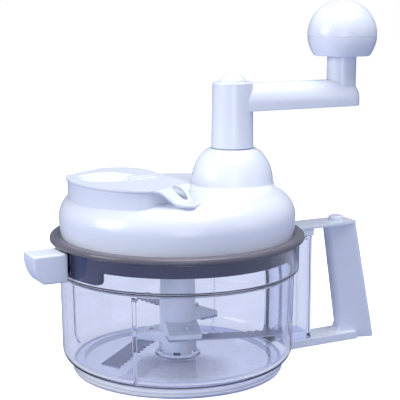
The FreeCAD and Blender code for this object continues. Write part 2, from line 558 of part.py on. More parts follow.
def build_bowl():
    """Clear cup: turned shell, handle bracket, stirring ribs and the slot for the tab's stem."""
    body = new_body("bowl")
    shell = sketch_on(body, "XZ_Plane")
    outline(shell, [
        ("0", "foot_height"),
        ("bowl_foot_radius - bowl_corner", "foot_height", "bowl_corner"),
        ("bowl_foot_radius", "foot_height + bowl_corner"),
        ("bowl_radius", "shoulder_height"),
        ("neck_radius", "shoulder_height + shoulder_rise"),
        ("neck_radius", "neck_top"),
        ("0", "neck_top")])
    turn_profile(body, "Revolution", shell)
    bracket = sketch_on(body, "XY_Plane", height="bracket_bottom")
    outline(bracket, rectangle("bowl_foot_radius - bowl_corner", "bracket_reach", "-bracket_width / 2",
                               "bracket_width / 2"))
    extrude(body, "Pad", bracket, "bracket_top - bracket_bottom")
    cavity = sketch_on(body, "XZ_Plane")
    floor_top = "foot_height + bowl_floor"
    outline(cavity, [
        ("pin_radius", floor_top + " + boss_rise"),
        ("boss_radius", floor_top + " + boss_rise"),
        ("boss_radius", floor_top),
        ("shaft_foot_radius + ring_wall", floor_top),
        ("shaft_foot_radius + ring_wall", floor_top + " + ring_rise"),
        ("shaft_foot_radius + 2 * ring_wall", floor_top + " + ring_rise"),
        ("shaft_foot_radius + 2 * ring_wall", floor_top),
        ("bowl_foot_radius - bowl_wall - bowl_inner_corner", floor_top, "bowl_inner_corner"),
        ("bowl_foot_radius - bowl_wall", floor_top + " + bowl_inner_corner"),
        ("bowl_radius - bowl_wall", "shoulder_height + bowl_wall"),
        ("neck_radius - bowl_wall", "shoulder_height + bowl_wall + inner_shoulder_rise"),
        ("neck_radius - bowl_wall", "neck_top"),
        ("0", "neck_top"),
        ("0", "foot_height + pin_seat"),
        ("pin_radius", "foot_height + pin_seat")])
    turn_profile(body, "Groove", cavity)
    channel = sketch_on(body, "XY_Plane", height="bracket_bottom")
    outline(channel, rectangle("bracket_hollow", "bracket_reach - bracket_wall",
                               "bracket_wall - bracket_width / 2", "bracket_width / 2 - bracket_wall"))
    extrude(body, "Pocket", channel, "bracket_top - bracket_wall - bracket_bottom", backwards=True)
    for turn in ("180 - rib_angle", "180 + rib_angle", "180 - rib_angle_front", "180 + rib_angle_front"):
        rib = sketch_on(body, "XZ_Plane", turn=turn)
        wall = "bowl_foot_radius - bowl_wall"
        outline(rib, [
            (wall + " - rib_depth - bowl_inner_corner / 2", "foot_height + bowl_floor / 2"),
            (wall + " - bowl_inner_corner / 2", "foot_height + bowl_floor / 2"),
            (wall + " + bowl_wall / 2", "foot_height + bowl_corner"),
            ("bowl_radius - bowl_wall / 2", "rib_top + rib_depth"),
            ("bowl_radius - bowl_wall", "rib_top + rib_depth"),
            ("bowl_radius - bowl_wall - rib_depth", "rib_top"),
            (wall + " - rib_depth", "foot_height + bowl_floor + bowl_inner_corner")])
        extrude(body, "Pad", rib, "rib_width", both=True)
    notch = sketch_on(body, "XY_Plane", height="notch_floor")
    outline(notch, rectangle("-neck_radius - bowl_wall", "2 * bowl_wall - neck_radius",
                             "-notch_width / 2", "notch_width / 2"))
    extrude(body, "Pocket", notch, "neck_top - notch_floor + bowl_wall", backwards=True)


def build_pivot_pin():
    """Steel pin in the floor's boss, with a domed tip."""
    body = new_body("pivot_pin")
    pin = sketch_on(body, "XZ_Plane")
    outline(pin, [
        ("0", "foot_height + pin_seat"),
        ("pin_radius", "foot_height + pin_seat"),
        ("pin_radius", "pin_top - pin_radius / 2", "pin_radius * 5 / 4"),
        ("0", "pin_top")])
    turn_profile(body, "Revolution", pin)


def build_base_foot():
    """Soft disc with a grooved rim."""
    body = new_body("base_foot")
    ring = sketch_on(body, "XZ_Plane")
    outline(ring, [
        ("0", "0"),
        ("foot_radius - 1", "0"),
        ("foot_radius", "1.5"),
        ("foot_radius", "foot_height / 2 - foot_groove / 2"),
        ("foot_radius - foot_groove", "foot_height / 2 - foot_groove / 2"),
        ("foot_radius - foot_groove", "foot_height / 2 + foot_groove / 2"),
        ("foot_radius", "foot_height / 2 + foot_groove / 2"),
        ("foot_radius", "foot_height - foot_groove"),
        ("foot_radius - foot_groove", "foot_height"),
        ("foot_radius - foot_rim", "foot_height"),
        ("foot_radius - foot_rim", "foot_sole"),
        ("0", "foot_sole")])
    turn_profile(body, "Revolution", ring)


def grip_section(body, height, inner, outer):
    """Section of the grip: a narrow round nose that widens to a flat outer face with round edges."""
    section = sketch_on(body, "XY_Plane", height=height)
    nose = "(%s + grip_nose)" % inner
    edge = "(%s - grip_edge)" % outer
    half = "(handle_width / 2 - grip_edge)"
    lean = ("(atan(%s / (%s - %s)) + acos((grip_nose - grip_edge) / sqrt((%s - %s) ^ 2 + %s ^ 2)))"
            % (half, edge, nose, edge, nose, half))
    nose_x = "%s + grip_nose * cos(%s)" % (nose, lean)
    nose_y = "grip_nose * sin(%s)" % lean
    flank_x = "%s + grip_edge * cos(%s)" % (edge, lean)
    flank_y = "%s + grip_edge * sin(%s)" % (half, lean)
    outline(section, [
        (outer, "-" + half),
        (outer, half, "grip_edge"),
        (flank_x, flank_y),
        (nose_x, nose_y, "grip_nose"),
        (nose_x, "-(%s)" % nose_y),
        (flank_x, "-(%s)" % flank_y, "grip_edge")])
    return section


def build_handle():
    """Grip that leans outwards, lower bar and the block that plugs into the bracket."""
    body = new_body("handle")
    low = grip_section(body, "handle_bottom", "grip_inner_bottom", "grip_outer_bottom")
    high = grip_section(body, "strap_top - strap_thickness", "grip_inner_top", "grip_outer_top")
    loft = body.newObject("PartDesign::AdditiveLoft", "grip_loft")
    loft.Profile = low
    loft.Sections = [high]
    loft.Ruled = True
    bar = sketch_on(body, "XZ_Plane")
    bar_end = "grip_inner_bottom + grip_nose * 2"
    bar_top = "handle_bottom + bar_thickness"
    outline(bar, [
        ("block_start + 2", "handle_bottom"),
        (bar_end, "handle_bottom"),
        (bar_end, bar_top),
        ("block_end", bar_top),
        ("block_end", "bracket_bottom"),
        ("block_start + 2", "bracket_bottom")])
    extrude(body, "Pad", bar, "handle_width", both=True)
    gusset = sketch_on(body, "XZ_Plane")
    outline(gusset, [
        ("grip_inner_bottom - gusset_radius", bar_top, "gusset_radius * 6 / 5"),
        ("grip_inner_bottom - 1", bar_top + " + gusset_height"),
        ("grip_inner_bottom + grip_nose", bar_top + " + gusset_height"),
        ("grip_inner_bottom + grip_nose", "handle_bottom + 1"),
        ("grip_inner_bottom - gusset_radius", "handle_bottom + 1")])
    extrude(body, "Pad", gusset, "grip_nose * 3 / 2", both=True)
    tongue = sketch_on(body, "XY_Plane", height="bracket_bottom")
    outline(tongue, rectangle("bracket_hollow + tongue_fit + 2",
                              "bracket_reach - bracket_wall - tongue_fit",
                              "bracket_wall + tongue_fit - bracket_width / 2",
                              "bracket_width / 2 - bracket_wall - tongue_fit"))
    extrude(body, "Pad", tongue, "tongue_rise")
    hole = sketch_on(body, "XY_Plane", height="strap_top - strap_thickness")
    circle(hole, "screw_place", "0", "screw_radius")
    extrude(body, "Pocket", hole, "screw_length")


def build_handle_strap():
    """Flat strap from the neck to the grip, with a block that stands on the bracket."""
    body = new_body("handle_strap")
    plate = sketch_on(body, "XY_Plane", height="strap_top - strap_thickness")
    outline(plate, [
        ("strap_start", "-handle_width / 2"),
        ("grip_outer_top - grip_edge", "-handle_width / 2", "grip_edge"),
        ("grip_outer_top", "grip_edge - handle_width / 2"),
        ("grip_outer_top", "handle_width / 2 - grip_edge", "grip_edge"),
        ("grip_outer_top - grip_edge", "handle_width / 2"),
        ("strap_start", "handle_width / 2")])
    extrude(body, "Pad", plate, "strap_thickness")
    block = sketch_on(body, "XY_Plane", height="bracket_top")
    outline(block, rectangle("block_start", "block_end", "-bracket_width / 2", "bracket_width / 2"))
    extrude(body, "Pad", block, "strap_top - strap_thickness / 2 - bracket_top")
    hole = sketch_on(body, "XY_Plane", height="strap_top")
    circle(hole, "screw_place", "0", "screw_radius")
    extrude(body, "Pocket", hole, "strap_thickness")


def build_screw(label, axis, seat, head, head_rise, shank, length):
    """Pan-head screw, point down, with its head's underside at the height 'seat'."""
    body = new_body(label, axis)
    profile = sketch_on(body, "XZ_Plane", height=seat)
    outline(profile, [
        ("0", "-(%s)" % length),
        (shank, "%s - (%s)" % (shank, length)),
        (shank, "0"),
        (head, "0"),
        (head, "(%s) / 2" % head_rise),
        ("(%s) - (%s) / 2" % (head, head_rise), head_rise),
        ("0", head_rise)])
    turn_profile(body, "Revolution", profile)
    recess = sketch_on(body, "XY_Plane", height="%s + %s" % (seat, head_rise))
    hexagon(recess, head)
    extrude(body, "Pocket", recess, "(%s) / 2" % head_rise)


def build_handle_cap():
    """Round button that hides the handle's screw."""
    body = new_body("handle_cap", "screw_place")
    button = sketch_on(body, "XZ_Plane", height="strap_top")
    hollow_top = "screw_head_rise + cap_fit"
    outline(button, [
        ("screw_head + cap_fit", "0"),
        ("cap_radius", "0"),
        ("cap_radius", "cap_rise / 2", "cap_rise / 2"),
        ("cap_radius - cap_rise / 2", "cap_rise"),
        ("0", "cap_rise"),
        ("0", hollow_top),
        ("screw_head + cap_fit", hollow_top)])
    turn_profile(body, "Revolution", button)


def build_ring_frame():
    """Ring between neck and lid: crowned rim, skirt in the neck, seat of the lid and deep apron."""
    body = new_body("ring_frame")
    skirt_outer = "neck_radius - bowl_wall - skirt_fit"
    ring = sketch_on(body, "XZ_Plane")
    outline(ring, [
        ("rim_inner - ledge_width", "ledge_top - ledge_thickness"),
        (skirt_outer + " - skirt_wall", "ledge_top - ledge_thickness"),
        (skirt_outer + " - skirt_wall", "skirt_bottom"),
        (skirt_outer, "skirt_bottom"),
        (skirt_outer, "rim_bottom"),
        ("rim_radius - rim_round_low", "rim_bottom", "rim_round_low"),
        ("rim_radius", "rim_bottom + rim_round_low"),
        ("rim_radius", "rim_top - rim_round", "rim_round"),
        ("rim_radius - rim_round", "rim_top"),
        ("rim_inner + rim_round_low / 2", "rim_top"),
        ("rim_inner", "rim_top - rim_round_low / 2"),
        ("rim_inner", "ledge_top"),
        ("rim_inner - ledge_width", "ledge_top")])
    turn_profile(body, "Revolution", ring)
    apron = sketch_on(body, "XZ_Plane")
    outline(apron, rectangle("-(%s)" % skirt_outer, "skirt_wall - (%s)" % skirt_outer,
                             "apron_bottom", "skirt_bottom + 1"))
    wide = turn_profile(body, "Revolution", apron)
    wide.Midplane = True
    bind(wide, "Angle", "2 * apron_angle")
    stem = sketch_on(body, "XY_Plane", height="stem_bottom")
    outline(stem, rectangle("-stem_end", "-stem_root", "-stem_width / 2", "stem_width / 2"))
    extrude(body, "Pad", stem, "stem_height")


def build_grip_tab():
    """Push tab on the ring's stem, hollowed to follow the neck."""
    body = new_body("grip_tab")
    side = sketch_on(body, "XZ_Plane")
    outline(side, [
        ("-tab_reach", "tab_top - tab_face", "(tab_tuck ^ 2 + (tab_height - tab_face) ^ 2) / (2 * tab_tuck)"),
        ("tab_tuck - tab_reach", "tab_bottom"),
        ("-tab_inner + 3", "tab_bottom"),
        ("-tab_inner + 3", "tab_top"),
        ("-tab_reach", "tab_top")])
    block = extrude(body, "Pad", side, "tab_width", both=True)
    reach = number("-tab_reach + tab_tuck + tab_edge")
    half = number("tab_width / 2")
    round_edges(body, block, "tab_edge", lambda edge: edge.CenterOfMass.x < reach
                or (abs(abs(edge.CenterOfMass.y) - half) < 0.01 and edge.CenterOfMass.x < -number("tab_inner")))
    hollow = sketch_on(body, "XY_Plane", height="tab_top + 1")
    circle(hollow, "0", "0", "tab_inner")
    extrude(body, "Pocket", hollow, "tab_top - tab_bottom + 2")
    socket = sketch_on(body, "XY_Plane", height="stem_bottom")
    outline(socket, rectangle("-stem_end", "-tab_inner + 2", "-stem_width / 2", "stem_width / 2"))
    extrude(body, "Pocket", socket, "stem_height", backwards=True)


def dome_profile(radius, low, high):
    """Half section of the dome about its axis: upright below the sphere's centre, flat on top."""
    top = "sqrt((%s) ^ 2 - (%s - dome_centre) ^ 2)" % (radius, high)
    return [("0", low), (radius, low), (radius, "dome_centre", radius), (top, high), ("0", high)]


def build_lid_shell():
    """Lid: turned shell with a boss for the pinion, screw posts and places for the dome and the chute."""
    body = new_body("lid_shell")
    lid_top = "lid_wide_height + lid_shoulder"
    flat = "lid_radius - lid_shoulder"
    shell = sketch_on(body, "XZ_Plane")
    outline(shell, [
        ("0", "ledge_top"),
        ("lid_base_radius", "ledge_top"),
        ("lid_base_radius", "ledge_top + lid_base_rise"),
        ("lid_radius", "lid_wide_height", "lid_shoulder"),
        (flat, lid_top),
        ("0", lid_top)])
    turn_profile(body, "Revolution", shell)
    cut_lid_cavity(body)
    place = sketch_on(body, "XY_Plane", height="lid_wide_height")
    circle(place, "crank_offset", "0", "dome_radius + lid_seam")
    extrude(body, "Pocket", place, "lid_shoulder + 1", backwards=True)
    gap = sketch_on(body, "XY_Plane", height="lid_wide_height")
    outline(gap, chute_outline("chute_inner", "chute_corner", "-lid_seam"))
    extrude(body, "Pocket", gap, "lid_shoulder + 1", backwards=True)
    hub = sketch_on(body, "XY_Plane", height="hub_bottom")
    circle(hub, "0", "0", "hub_radius")
    extrude(body, "Pad", hub, lid_top + " - lid_wall / 2 - hub_bottom")
    journal = sketch_on(body, "XY_Plane", height="hub_bottom")
    circle(journal, "0", "0", "journal_upper + running_fit")
    extrude(body, "Pocket", journal, "journal_upper_length + axial_play", backwards=True)
    for turn in ("post_turn_front", "-post_turn_front", "post_turn_rear", "-post_turn_rear"):
        place = ("post_place * cos(%s)" % turn, "post_place * sin(%s)" % turn)
        post = sketch_on(body, "XY_Plane", height="cover_bottom + cover_thickness")
        circle(post, place[0], place[1], "post_radius")
        extrude(body, "Pad", post, "lid_wide_height + lid_shoulder / 4 * 3 - cover_bottom - cover_thickness")
        pilot = sketch_on(body, "XY_Plane", height="cover_bottom + cover_thickness")
        circle(pilot, place[0], place[1], "cover_screw")
        extrude(body, "Pocket", pilot, "cover_screw_length", backwards=True)


def cut_lid_cavity(body):
    """Hollow of the lid, cut out of whatever part of the lid the body is."""
    ceiling = "lid_wide_height + lid_shoulder - lid_wall"
    cavity = sketch_on(body, "XZ_Plane")
    outline(cavity, [
        ("0", "ledge_top - 1"),
        ("lid_base_radius - lid_wall", "ledge_top - 1"),
        ("lid_base_radius - lid_wall", "ledge_top + lid_base_rise"),
        ("lid_radius - lid_wall", "lid_wide_height", "lid_shoulder - lid_wall"),
        ("lid_radius - lid_shoulder", ceiling),
        ("0", ceiling)])
    turn_profile(body, "Groove", cavity)


def build_gear_dome():
    """Dome over the crank's bearing: upright foot, spherical shell with a flat top, and a bored tower."""
    body = new_body("gear_dome")
    dome = sketch_on(body, "XZ_Plane", across="crank_offset")
    outline(dome, dome_profile("dome_radius", "lid_wide_height", "dome_top"))
    turn_profile(body, "Revolution", dome)
    cut_lid_cavity(body)
    inside = sketch_on(body, "XZ_Plane", across="crank_offset")
    inner = "dome_radius - lid_wall"
    roof = "dome_top - lid_wall"
    outline(inside, dome_profile(inner, "lid_wide_height", roof))
    turn_profile(body, "Groove", inside)
    tower = sketch_on(body, "XZ_Plane", across="crank_offset")
    outline(tower, rectangle("0", "tower_radius", "tower_bottom", "dome_top - lid_wall / 2"))
    turn_profile(body, "Revolution", tower)
    bore = sketch_on(body, "XZ_Plane", across="crank_offset")
    outline(bore, rectangle("0", "bush_radius", "tower_bottom - 1", "dome_top + 1"))
    turn_profile(body, "Groove", bore)


def build_feed_chute():
    """Chute through the lid, from the separator down past the gear cover."""
    body = new_body("feed_chute")
    tube = sketch_on(body, "XY_Plane", height="chute_bottom")
    outline(tube, chute_outline("chute_inner", "chute_corner", "0"))
    extrude(body, "Pad", tube, "chute_top - chute_bottom")
    passage = sketch_on(body, "XY_Plane", height="chute_bottom")
    outline(passage, chute_outline("chute_inner", "chute_corner", "chute_wall"))
    extrude(body, "Pocket", passage, "chute_top - chute_bottom", backwards=True)


def build_gear_cover():
    """Plate under the gears, with the pinion's bearing, the spindle's cup and a gap for the chute."""
    body = new_body("gear_cover")
    disc = sketch_on(body, "XY_Plane", height="cover_bottom")
    circle(disc, "0", "0", "cover_radius")
    extrude(body, "Pad", disc, "cover_thickness")
    gap = sketch_on(body, "XY_Plane", height="cover_bottom")
    inner = "-chute_inner + cover_fit"
    bend = "(chute_corner + cover_fit)"
    outline(gap, [
        ("-2 * cover_radius", "chute_back + cover_radius"),
        ("-2 * cover_radius", "-chute_front - cover_radius"),
        ("%s - %s" % (inner, bend), "-chute_front - cover_fit", bend),
        (inner, "%s - chute_front - cover_fit" % bend),
        (inner, "chute_back + cover_fit - " + bend, bend),
        ("%s - %s" % (inner, bend), "chute_back + cover_fit")])
    extrude(body, "Pocket", gap, "cover_thickness", backwards=True)
    collar = sketch_on(body, "XY_Plane", height="cover_bottom")
    circle(collar, "0", "0", "cover_collar")
    extrude(body, "Pad", collar, "gear_bottom - pinion_overhang - axial_play - cover_bottom")
    bore = sketch_on(body, "XY_Plane", height="cover_bottom")
    circle(bore, "0", "0", "journal_lower + running_fit")
    extrude(body, "Pocket", bore, "gear_bottom - cover_bottom", backwards=True)
    cup = sketch_on(body, "XY_Plane", height="cover_bottom - cover_cup_drop")
    circle(cup, "crank_offset", "0", "cover_cup")
    extrude(body, "Pad", cup, "gear_bottom - gear_hub_drop - axial_play - cover_bottom + cover_cup_drop")
    well = sketch_on(body, "XY_Plane", height="cover_bottom - cover_cup_drop + journal_seat")
    circle(well, "crank_offset", "0", "spindle_journal + running_fit")
    extrude(body, "Pocket", well, "gear_bottom - cover_bottom + cover_cup_drop", backwards=True)
    for turn in ("post_turn_front", "-post_turn_front", "post_turn_rear", "-post_turn_rear"):
        hole = sketch_on(body, "XY_Plane", height="cover_bottom")
        circle(hole, "post_place * cos(%s)" % turn, "post_place * sin(%s)" % turn,
               "cover_screw + cover_fit / 2")
        extrude(body, "Pocket", hole, "cover_thickness", backwards=True)


def cylinder(label, radius, length, x="0", y="0", z="0"):
    """An upright Part cylinder bound to the sheet."""
    rod = doc.addObject("Part::Cylinder", label)
    bind(rod, "Radius", radius)
    bind(rod, "Height", length)
    bind(rod, "Placement.Base.x", x)
    bind(rod, "Placement.Base.y", y)
    bind(rod, "Placement.Base.z", z)
    return rod


def group_of(label, members):
    """Identical pieces that share one sub-part."""
    group = doc.addObject("Part::Compound", label)
    group.Label = label
    group.Links = members
    parts.append(group)


def build_cover_screws():
    """Four screws that hold the gear cover under the lid's posts, heads down."""
    screws = []
    for index, turn in enumerate(("post_turn_front", "-post_turn_front", "post_turn_rear", "-post_turn_rear")):
        x = "post_place * cos(%s)" % turn
        y = "post_place * sin(%s)" % turn
        shank = cylinder("cover_shank_%d" % index, "cover_screw", "cover_screw_length + cover_thickness", x, y,
                         "cover_bottom")
        head = cylinder("cover_head_%d" % index, "cover_screw_head", "cover_screw_head_rise", x, y,
                        "cover_bottom - cover_screw_head_rise")
        screw = doc.addObject("Part::MultiFuse", "cover_screw_%d" % index)
        screw.Shapes = [shank, head]
        screws.append(screw)
    group_of("cover_screws", screws)


def build_crank_bush():
    """Flanged bearing bush in the dome's tower."""
    body = new_body("crank_bush", "crank_offset")
    bush = sketch_on(body, "XZ_Plane")
    bore = "spindle_radius + running_fit"
    outline(bush, [
        (bore, "tower_bottom - bush_flange_thickness"),
        ("bush_flange", "tower_bottom - bush_flange_thickness"),
        ("bush_flange", "tower_bottom"),
        ("bush_radius", "tower_bottom"),
        ("bush_radius", "dome_top"),
        (bore, "dome_top")])
    turn_profile(body, "Revolution", bush)


def build_crank_arm():
    """Crank moulding: tapered column, half-round arm with a hollow underside and the knob's post."""
    body = new_body("crank_arm", "crank_offset")
    column = sketch_on(body, "XZ_Plane")
    outline(column, [
        ("0", "column_foot"),
        ("column_foot_radius", "column_foot"),
        ("column_top_radius", "column_top - column_edge", "column_edge"),
        ("column_top_radius - column_edge", "column_top"),
        ("0", "column_top")])
    turn_profile(body, "Revolution", column)
    shoulder = "arm_top - arm_half_width"
    arm = sketch_on(body, "YZ_Plane")
    outline(arm, [
        ("-arm_half_width", "arm_bottom"),
        ("arm_half_width", "arm_bottom"),
        ("arm_half_width", shoulder, "arm_half_width"),
        ("0", "arm_top", "arm_half_width"),
        ("-arm_half_width", shoulder)])
    extrude(body, "Pad", arm, "arm_length")
    end = sketch_on(body, "XZ_Plane", across="arm_length")
    outline(end, [
        ("0", "arm_bottom"),
        ("arm_half_width", "arm_bottom"),
        ("arm_half_width", shoulder, "arm_half_width"),
        ("0", "arm_top")])
    turn_profile(body, "Revolution", end)
    hollow = sketch_on(body, "YZ_Plane", shift="column_foot_radius + arm_wall")
    inner = "arm_half_width - arm_wall"
    outline(hollow, [
        ("-(%s)" % inner, "arm_bottom - 1"),
        (inner, "arm_bottom - 1"),
        (inner, shoulder, inner),
        ("0", "arm_top - arm_wall", inner),
        ("-(%s)" % inner, shoulder)])
    extrude(body, "Pocket", hollow, "arm_length - column_foot_radius - arm_wall", backwards=True)
    bell = sketch_on(body, "XZ_Plane", across="arm_length")
    outline(bell, [
        ("0", "arm_bottom - 1"),
        (inner, "arm_bottom - 1"),
        (inner, shoulder, inner),
        ("0", "arm_top - arm_wall")])
    turn_profile(body, "Groove", bell)
    post = sketch_on(body, "XZ_Plane", across="arm_length")
    outline(post, rectangle("0", "knob_post", "arm_top - arm_half_width / 2", "post_top"))
    turn_profile(body, "Revolution", post)
    pin_hole = sketch_on(body, "XZ_Plane", across="arm_length")
    outline(pin_hole, rectangle("0", "knob_pin", "post_top - pin_depth", "post_top + 1"))
    turn_profile(body, "Groove", pin_hole)
    socket = sketch_on(body, "XY_Plane", height="column_foot")
    hexagon(socket, "spindle_hex + 2 * running_fit")
    extrude(body, "Pocket", socket, "spindle_grip", backwards=True)
    screw_way = sketch_on(body, "XY_Plane", height="column_foot")
    circle(screw_way, "0", "0", "crank_screw + running_fit")
    extrude(body, "Pocket", screw_way, "column_top - column_foot", backwards=True)
    counterbore = sketch_on(body, "XY_Plane", height="column_top")
    circle(counterbore, "0", "0", "crank_screw_head + hex_fit")
    extrude(body, "Pocket", counterbore, "screw_head_depth")


def build_crank_spindle():
    """Steel spindle: lower journal, seat of the gear, flange, bearing and the hexagon of the crank."""
    body = new_body("crank_spindle", "crank_offset")
    hub_low = "gear_bottom - gear_hub_drop"
    hub_high = "gear_bottom + gear_thickness + gear_hub_rise"
    flange_top = "tower_bottom - bush_flange_thickness - axial_play"
    journal_low = "cover_bottom - cover_cup_drop + journal_seat + axial_play"
    turned = sketch_on(body, "XZ_Plane")
    outline(turned, [
        ("0", journal_low),
        ("spindle_journal", journal_low),
        ("spindle_journal", hub_high),
        ("spindle_flange", hub_high),
        ("spindle_flange", flange_top),
        ("spindle_radius", flange_top),
        ("spindle_radius", "column_foot"),
        ("0", "column_foot")])
    turn_profile(body, "Revolution", turned)
    seat = sketch_on(body, "XY_Plane", height=hub_low)
    hexagon(seat, "gear_hex")
    extrude(body, "Pad", seat, "gear_thickness + gear_hub_drop + gear_hub_rise")
    square = sketch_on(body, "XY_Plane", height="column_foot")
    hexagon(square, "spindle_hex")
    extrude(body, "Pad", square, "spindle_grip - axial_play")
    thread = sketch_on(body, "XY_Plane", height="column_foot + spindle_grip - axial_play")
    circle(thread, "0", "0", "crank_screw")
    extrude(body, "Pocket", thread, "spindle_grip / 2 + 4")


def cut_teeth(body, teeth, low, width, first):
    """Cut involute tooth gaps into a gear blank; each flank is one arc through root and tip."""
    pitch = "(gear_module * (%s) / 2)" % teeth
    base = "(%s * cos(pressure_angle))" % pitch
    root = "(%s - tooth_root * gear_module)" % pitch
    tip = "(%s + gear_gap_reach * gear_module)" % pitch

    def half_gap(radius):
        """Half the angle of the gap at a radius outside the base circle, in degrees."""
        slant = "acos(min(1; %s / %s))" % (base, radius)
        return ("(90 / (%s) + 90 / pi * tooth_backlash / %s"
                " + 180 / pi * (tan(%s) - tan(pressure_angle)) - %s / 1deg + pressure_angle)"
                % (teeth, pitch, slant, slant))

    at_root = half_gap("max(%s; %s)" % (root, base))
    at_tip = half_gap(tip)
    flank = pitch + " * sin(pressure_angle)"
    gap = sketch_on(body, "XY_Plane", height=low, turn=first)
    outline(gap, [
        ("%s * cos(%s)" % (root, at_root), "-%s * sin(%s)" % (root, at_root)),
        ("%s * cos(%s)" % (root, at_root), "%s * sin(%s)" % (root, at_root), flank),
        ("%s * cos(%s)" % (tip, at_tip), "%s * sin(%s)" % (tip, at_tip)),
        ("%s * cos(%s)" % (tip, at_tip), "-%s * sin(%s)" % (tip, at_tip), flank)])
    cut = extrude(body, "Pocket", gap, width, backwards=True)
    repeat_round(body, cut, teeth)


def build_drive_gear():
    """Drive gear: dished web with six holes, hub with a hexagon bore and 42 teeth."""
    body = new_body("drive_gear", "crank_offset")
    pitch = "gear_module * gear_teeth / 2"
    rim = pitch + " - tooth_root * gear_module - gear_rim"
    high = "gear_bottom + gear_thickness"
    blank = sketch_on(body, "XZ_Plane")
    outline(blank, [
        ("0", "gear_bottom - gear_hub_drop"),
        ("gear_hub", "gear_bottom - gear_hub_drop"),
        ("gear_hub", "gear_bottom + web_recess"),
        (rim, "gear_bottom + web_recess"),
        (rim, "gear_bottom"),
        (pitch + " + gear_module", "gear_bottom"),
        (pitch + " + gear_module", high),
        (rim, high),
        (rim, high + " - web_recess"),
        ("gear_hub", high + " - web_recess"),
        ("gear_hub", high + " + gear_hub_rise"),
        ("0", high + " + gear_hub_rise")])
    turn_profile(body, "Revolution", blank)
    bore = sketch_on(body, "XY_Plane", height="gear_bottom - gear_hub_drop")
    hexagon(bore, "gear_hex")
    extrude(body, "Pocket", bore, "gear_thickness + gear_hub_drop + gear_hub_rise", backwards=True)
    window = sketch_on(body, "XY_Plane", height="gear_bottom")
    circle(window, "web_hole_place", "0", "web_hole")
    repeat_round(body, extrude(body, "Pocket", window, "gear_thickness", backwards=True), "holes_in_web")
    cut_teeth(body, "gear_teeth", "gear_bottom", "gear_thickness", "0")


def build_drive_pinion():
    """Pinion with two journals and the hexagon socket that takes the blade shaft's head."""
    body = new_body("drive_pinion")
    low = "gear_bottom - pinion_overhang"
    high = "gear_bottom + gear_thickness + pinion_overhang"
    reach = "gear_module * pinion_teeth / 2 + gear_module"
    blank = sketch_on(body, "XZ_Plane")
    outline(blank, [
        ("0", "shaft_top + axial_play"),
        ("journal_lower", "shaft_top + axial_play"),
        ("journal_lower", low),
        (reach, low),
        (reach, high),
        ("journal_upper", high),
        ("journal_upper", "hub_bottom + journal_upper_length"),
        ("0", "hub_bottom + journal_upper_length")])
    turn_profile(body, "Revolution", blank)
    socket = sketch_on(body, "XY_Plane", height="shaft_top + axial_play")
    hexagon(socket, "hex_across + 2 * hex_fit")
    extrude(body, "Pocket", socket, "socket_depth", backwards=True)
    cut_teeth(body, "pinion_teeth", low, "gear_thickness + 2 * pinion_overhang", "180 / pinion_teeth")


def build_crank_cap():
    """Domed cap on the column."""
    body = new_body("crank_cap", "crank_offset")
    cap = sketch_on(body, "XZ_Plane", height="column_top")
    outline(cap, [
        ("0", "0"),
        ("crank_cap_radius", "0"),
        ("crank_cap_radius", "1.2", "(crank_cap_radius ^ 2 + (crank_cap_rise - 1.2) ^ 2)"
                                    " / (2 * (crank_cap_rise - 1.2))"),
        ("0", "crank_cap_rise")])
    turn_profile(body, "Revolution", cap)


def build_knob():
    """Hollow ball knob in two shells that turns on a headed pin."""
    place = "crank_offset + arm_length"
    inner = "knob_radius - knob_wall"
    low_cut = "sqrt(knob_radius ^ 2 - (knob_centre - knob_bottom) ^ 2)"
    split_out = "sqrt(knob_radius ^ 2 - (knob_centre - knob_split) ^ 2)"
    split_in = "sqrt((%s) ^ 2 - (knob_centre - knob_split) ^ 2)" % inner
    floor_in = "sqrt((%s) ^ 2 - (knob_centre - knob_bottom - knob_wall) ^ 2)" % inner
    bore = "knob_pin + running_fit"

    base = new_body("knob_base", place)
    cup = sketch_on(base, "XZ_Plane")
    outline(cup, [
        (bore, "knob_bottom"),
        (low_cut, "knob_bottom", "knob_radius"),
        (split_out, "knob_split"),
        (split_in, "knob_split", "-(%s)" % inner),
        (floor_in, "knob_bottom + knob_wall"),
        ("knob_hub", "knob_bottom + knob_wall"),
        ("knob_hub", "hub_top"),
        (bore, "hub_top")])
    turn_profile(base, "Revolution", cup)

    top = new_body("knob_top", place)
    lip = "sqrt((%s) ^ 2 - (knob_centre - knob_split + lip_height) ^ 2) - hex_fit" % inner
    lip_inner = lip + " - knob_wall / 2"
    ball = sketch_on(top, "XZ_Plane")
    outline(ball, [
        (lip_inner, "knob_split - lip_height"),
        (lip, "knob_split - lip_height"),
        (lip, "knob_split"),
        (split_out, "knob_split", "knob_radius"),
        ("0", "knob_centre + knob_radius"),
        ("0", "knob_centre + " + inner, "-(%s)" % inner),
        (lip_inner, "knob_centre + sqrt((%s) ^ 2 - (%s) ^ 2)" % (inner, lip_inner))])
    turn_profile(top, "Revolution", ball)


def build_knob_pin():
    """Headed pin that holds the knob on the crank's post."""
    body = new_body("knob_pin", "crank_offset + arm_length")
    pin = sketch_on(body, "XZ_Plane")
    outline(pin, [
        ("0", "post_top - pin_depth"),
        ("knob_pin", "post_top - pin_depth"),
        ("knob_pin", "hub_top + axial_play"),
        ("knob_pin_head", "hub_top + axial_play"),
        ("knob_pin_head", "hub_top + axial_play + knob_pin_head_rise"),
        ("0", "hub_top + axial_play + knob_pin_head_rise")])
    turn_profile(body, "Revolution", pin)


def blade_height(index):
    """Underside of the blade with this number, counted from the floor up."""
    return "(first_blade + %d * blade_step)" % index


def blade_direction(index):
    """Direction in which that blade points."""
    return "(blade_start + %d * blade_turn)" % index


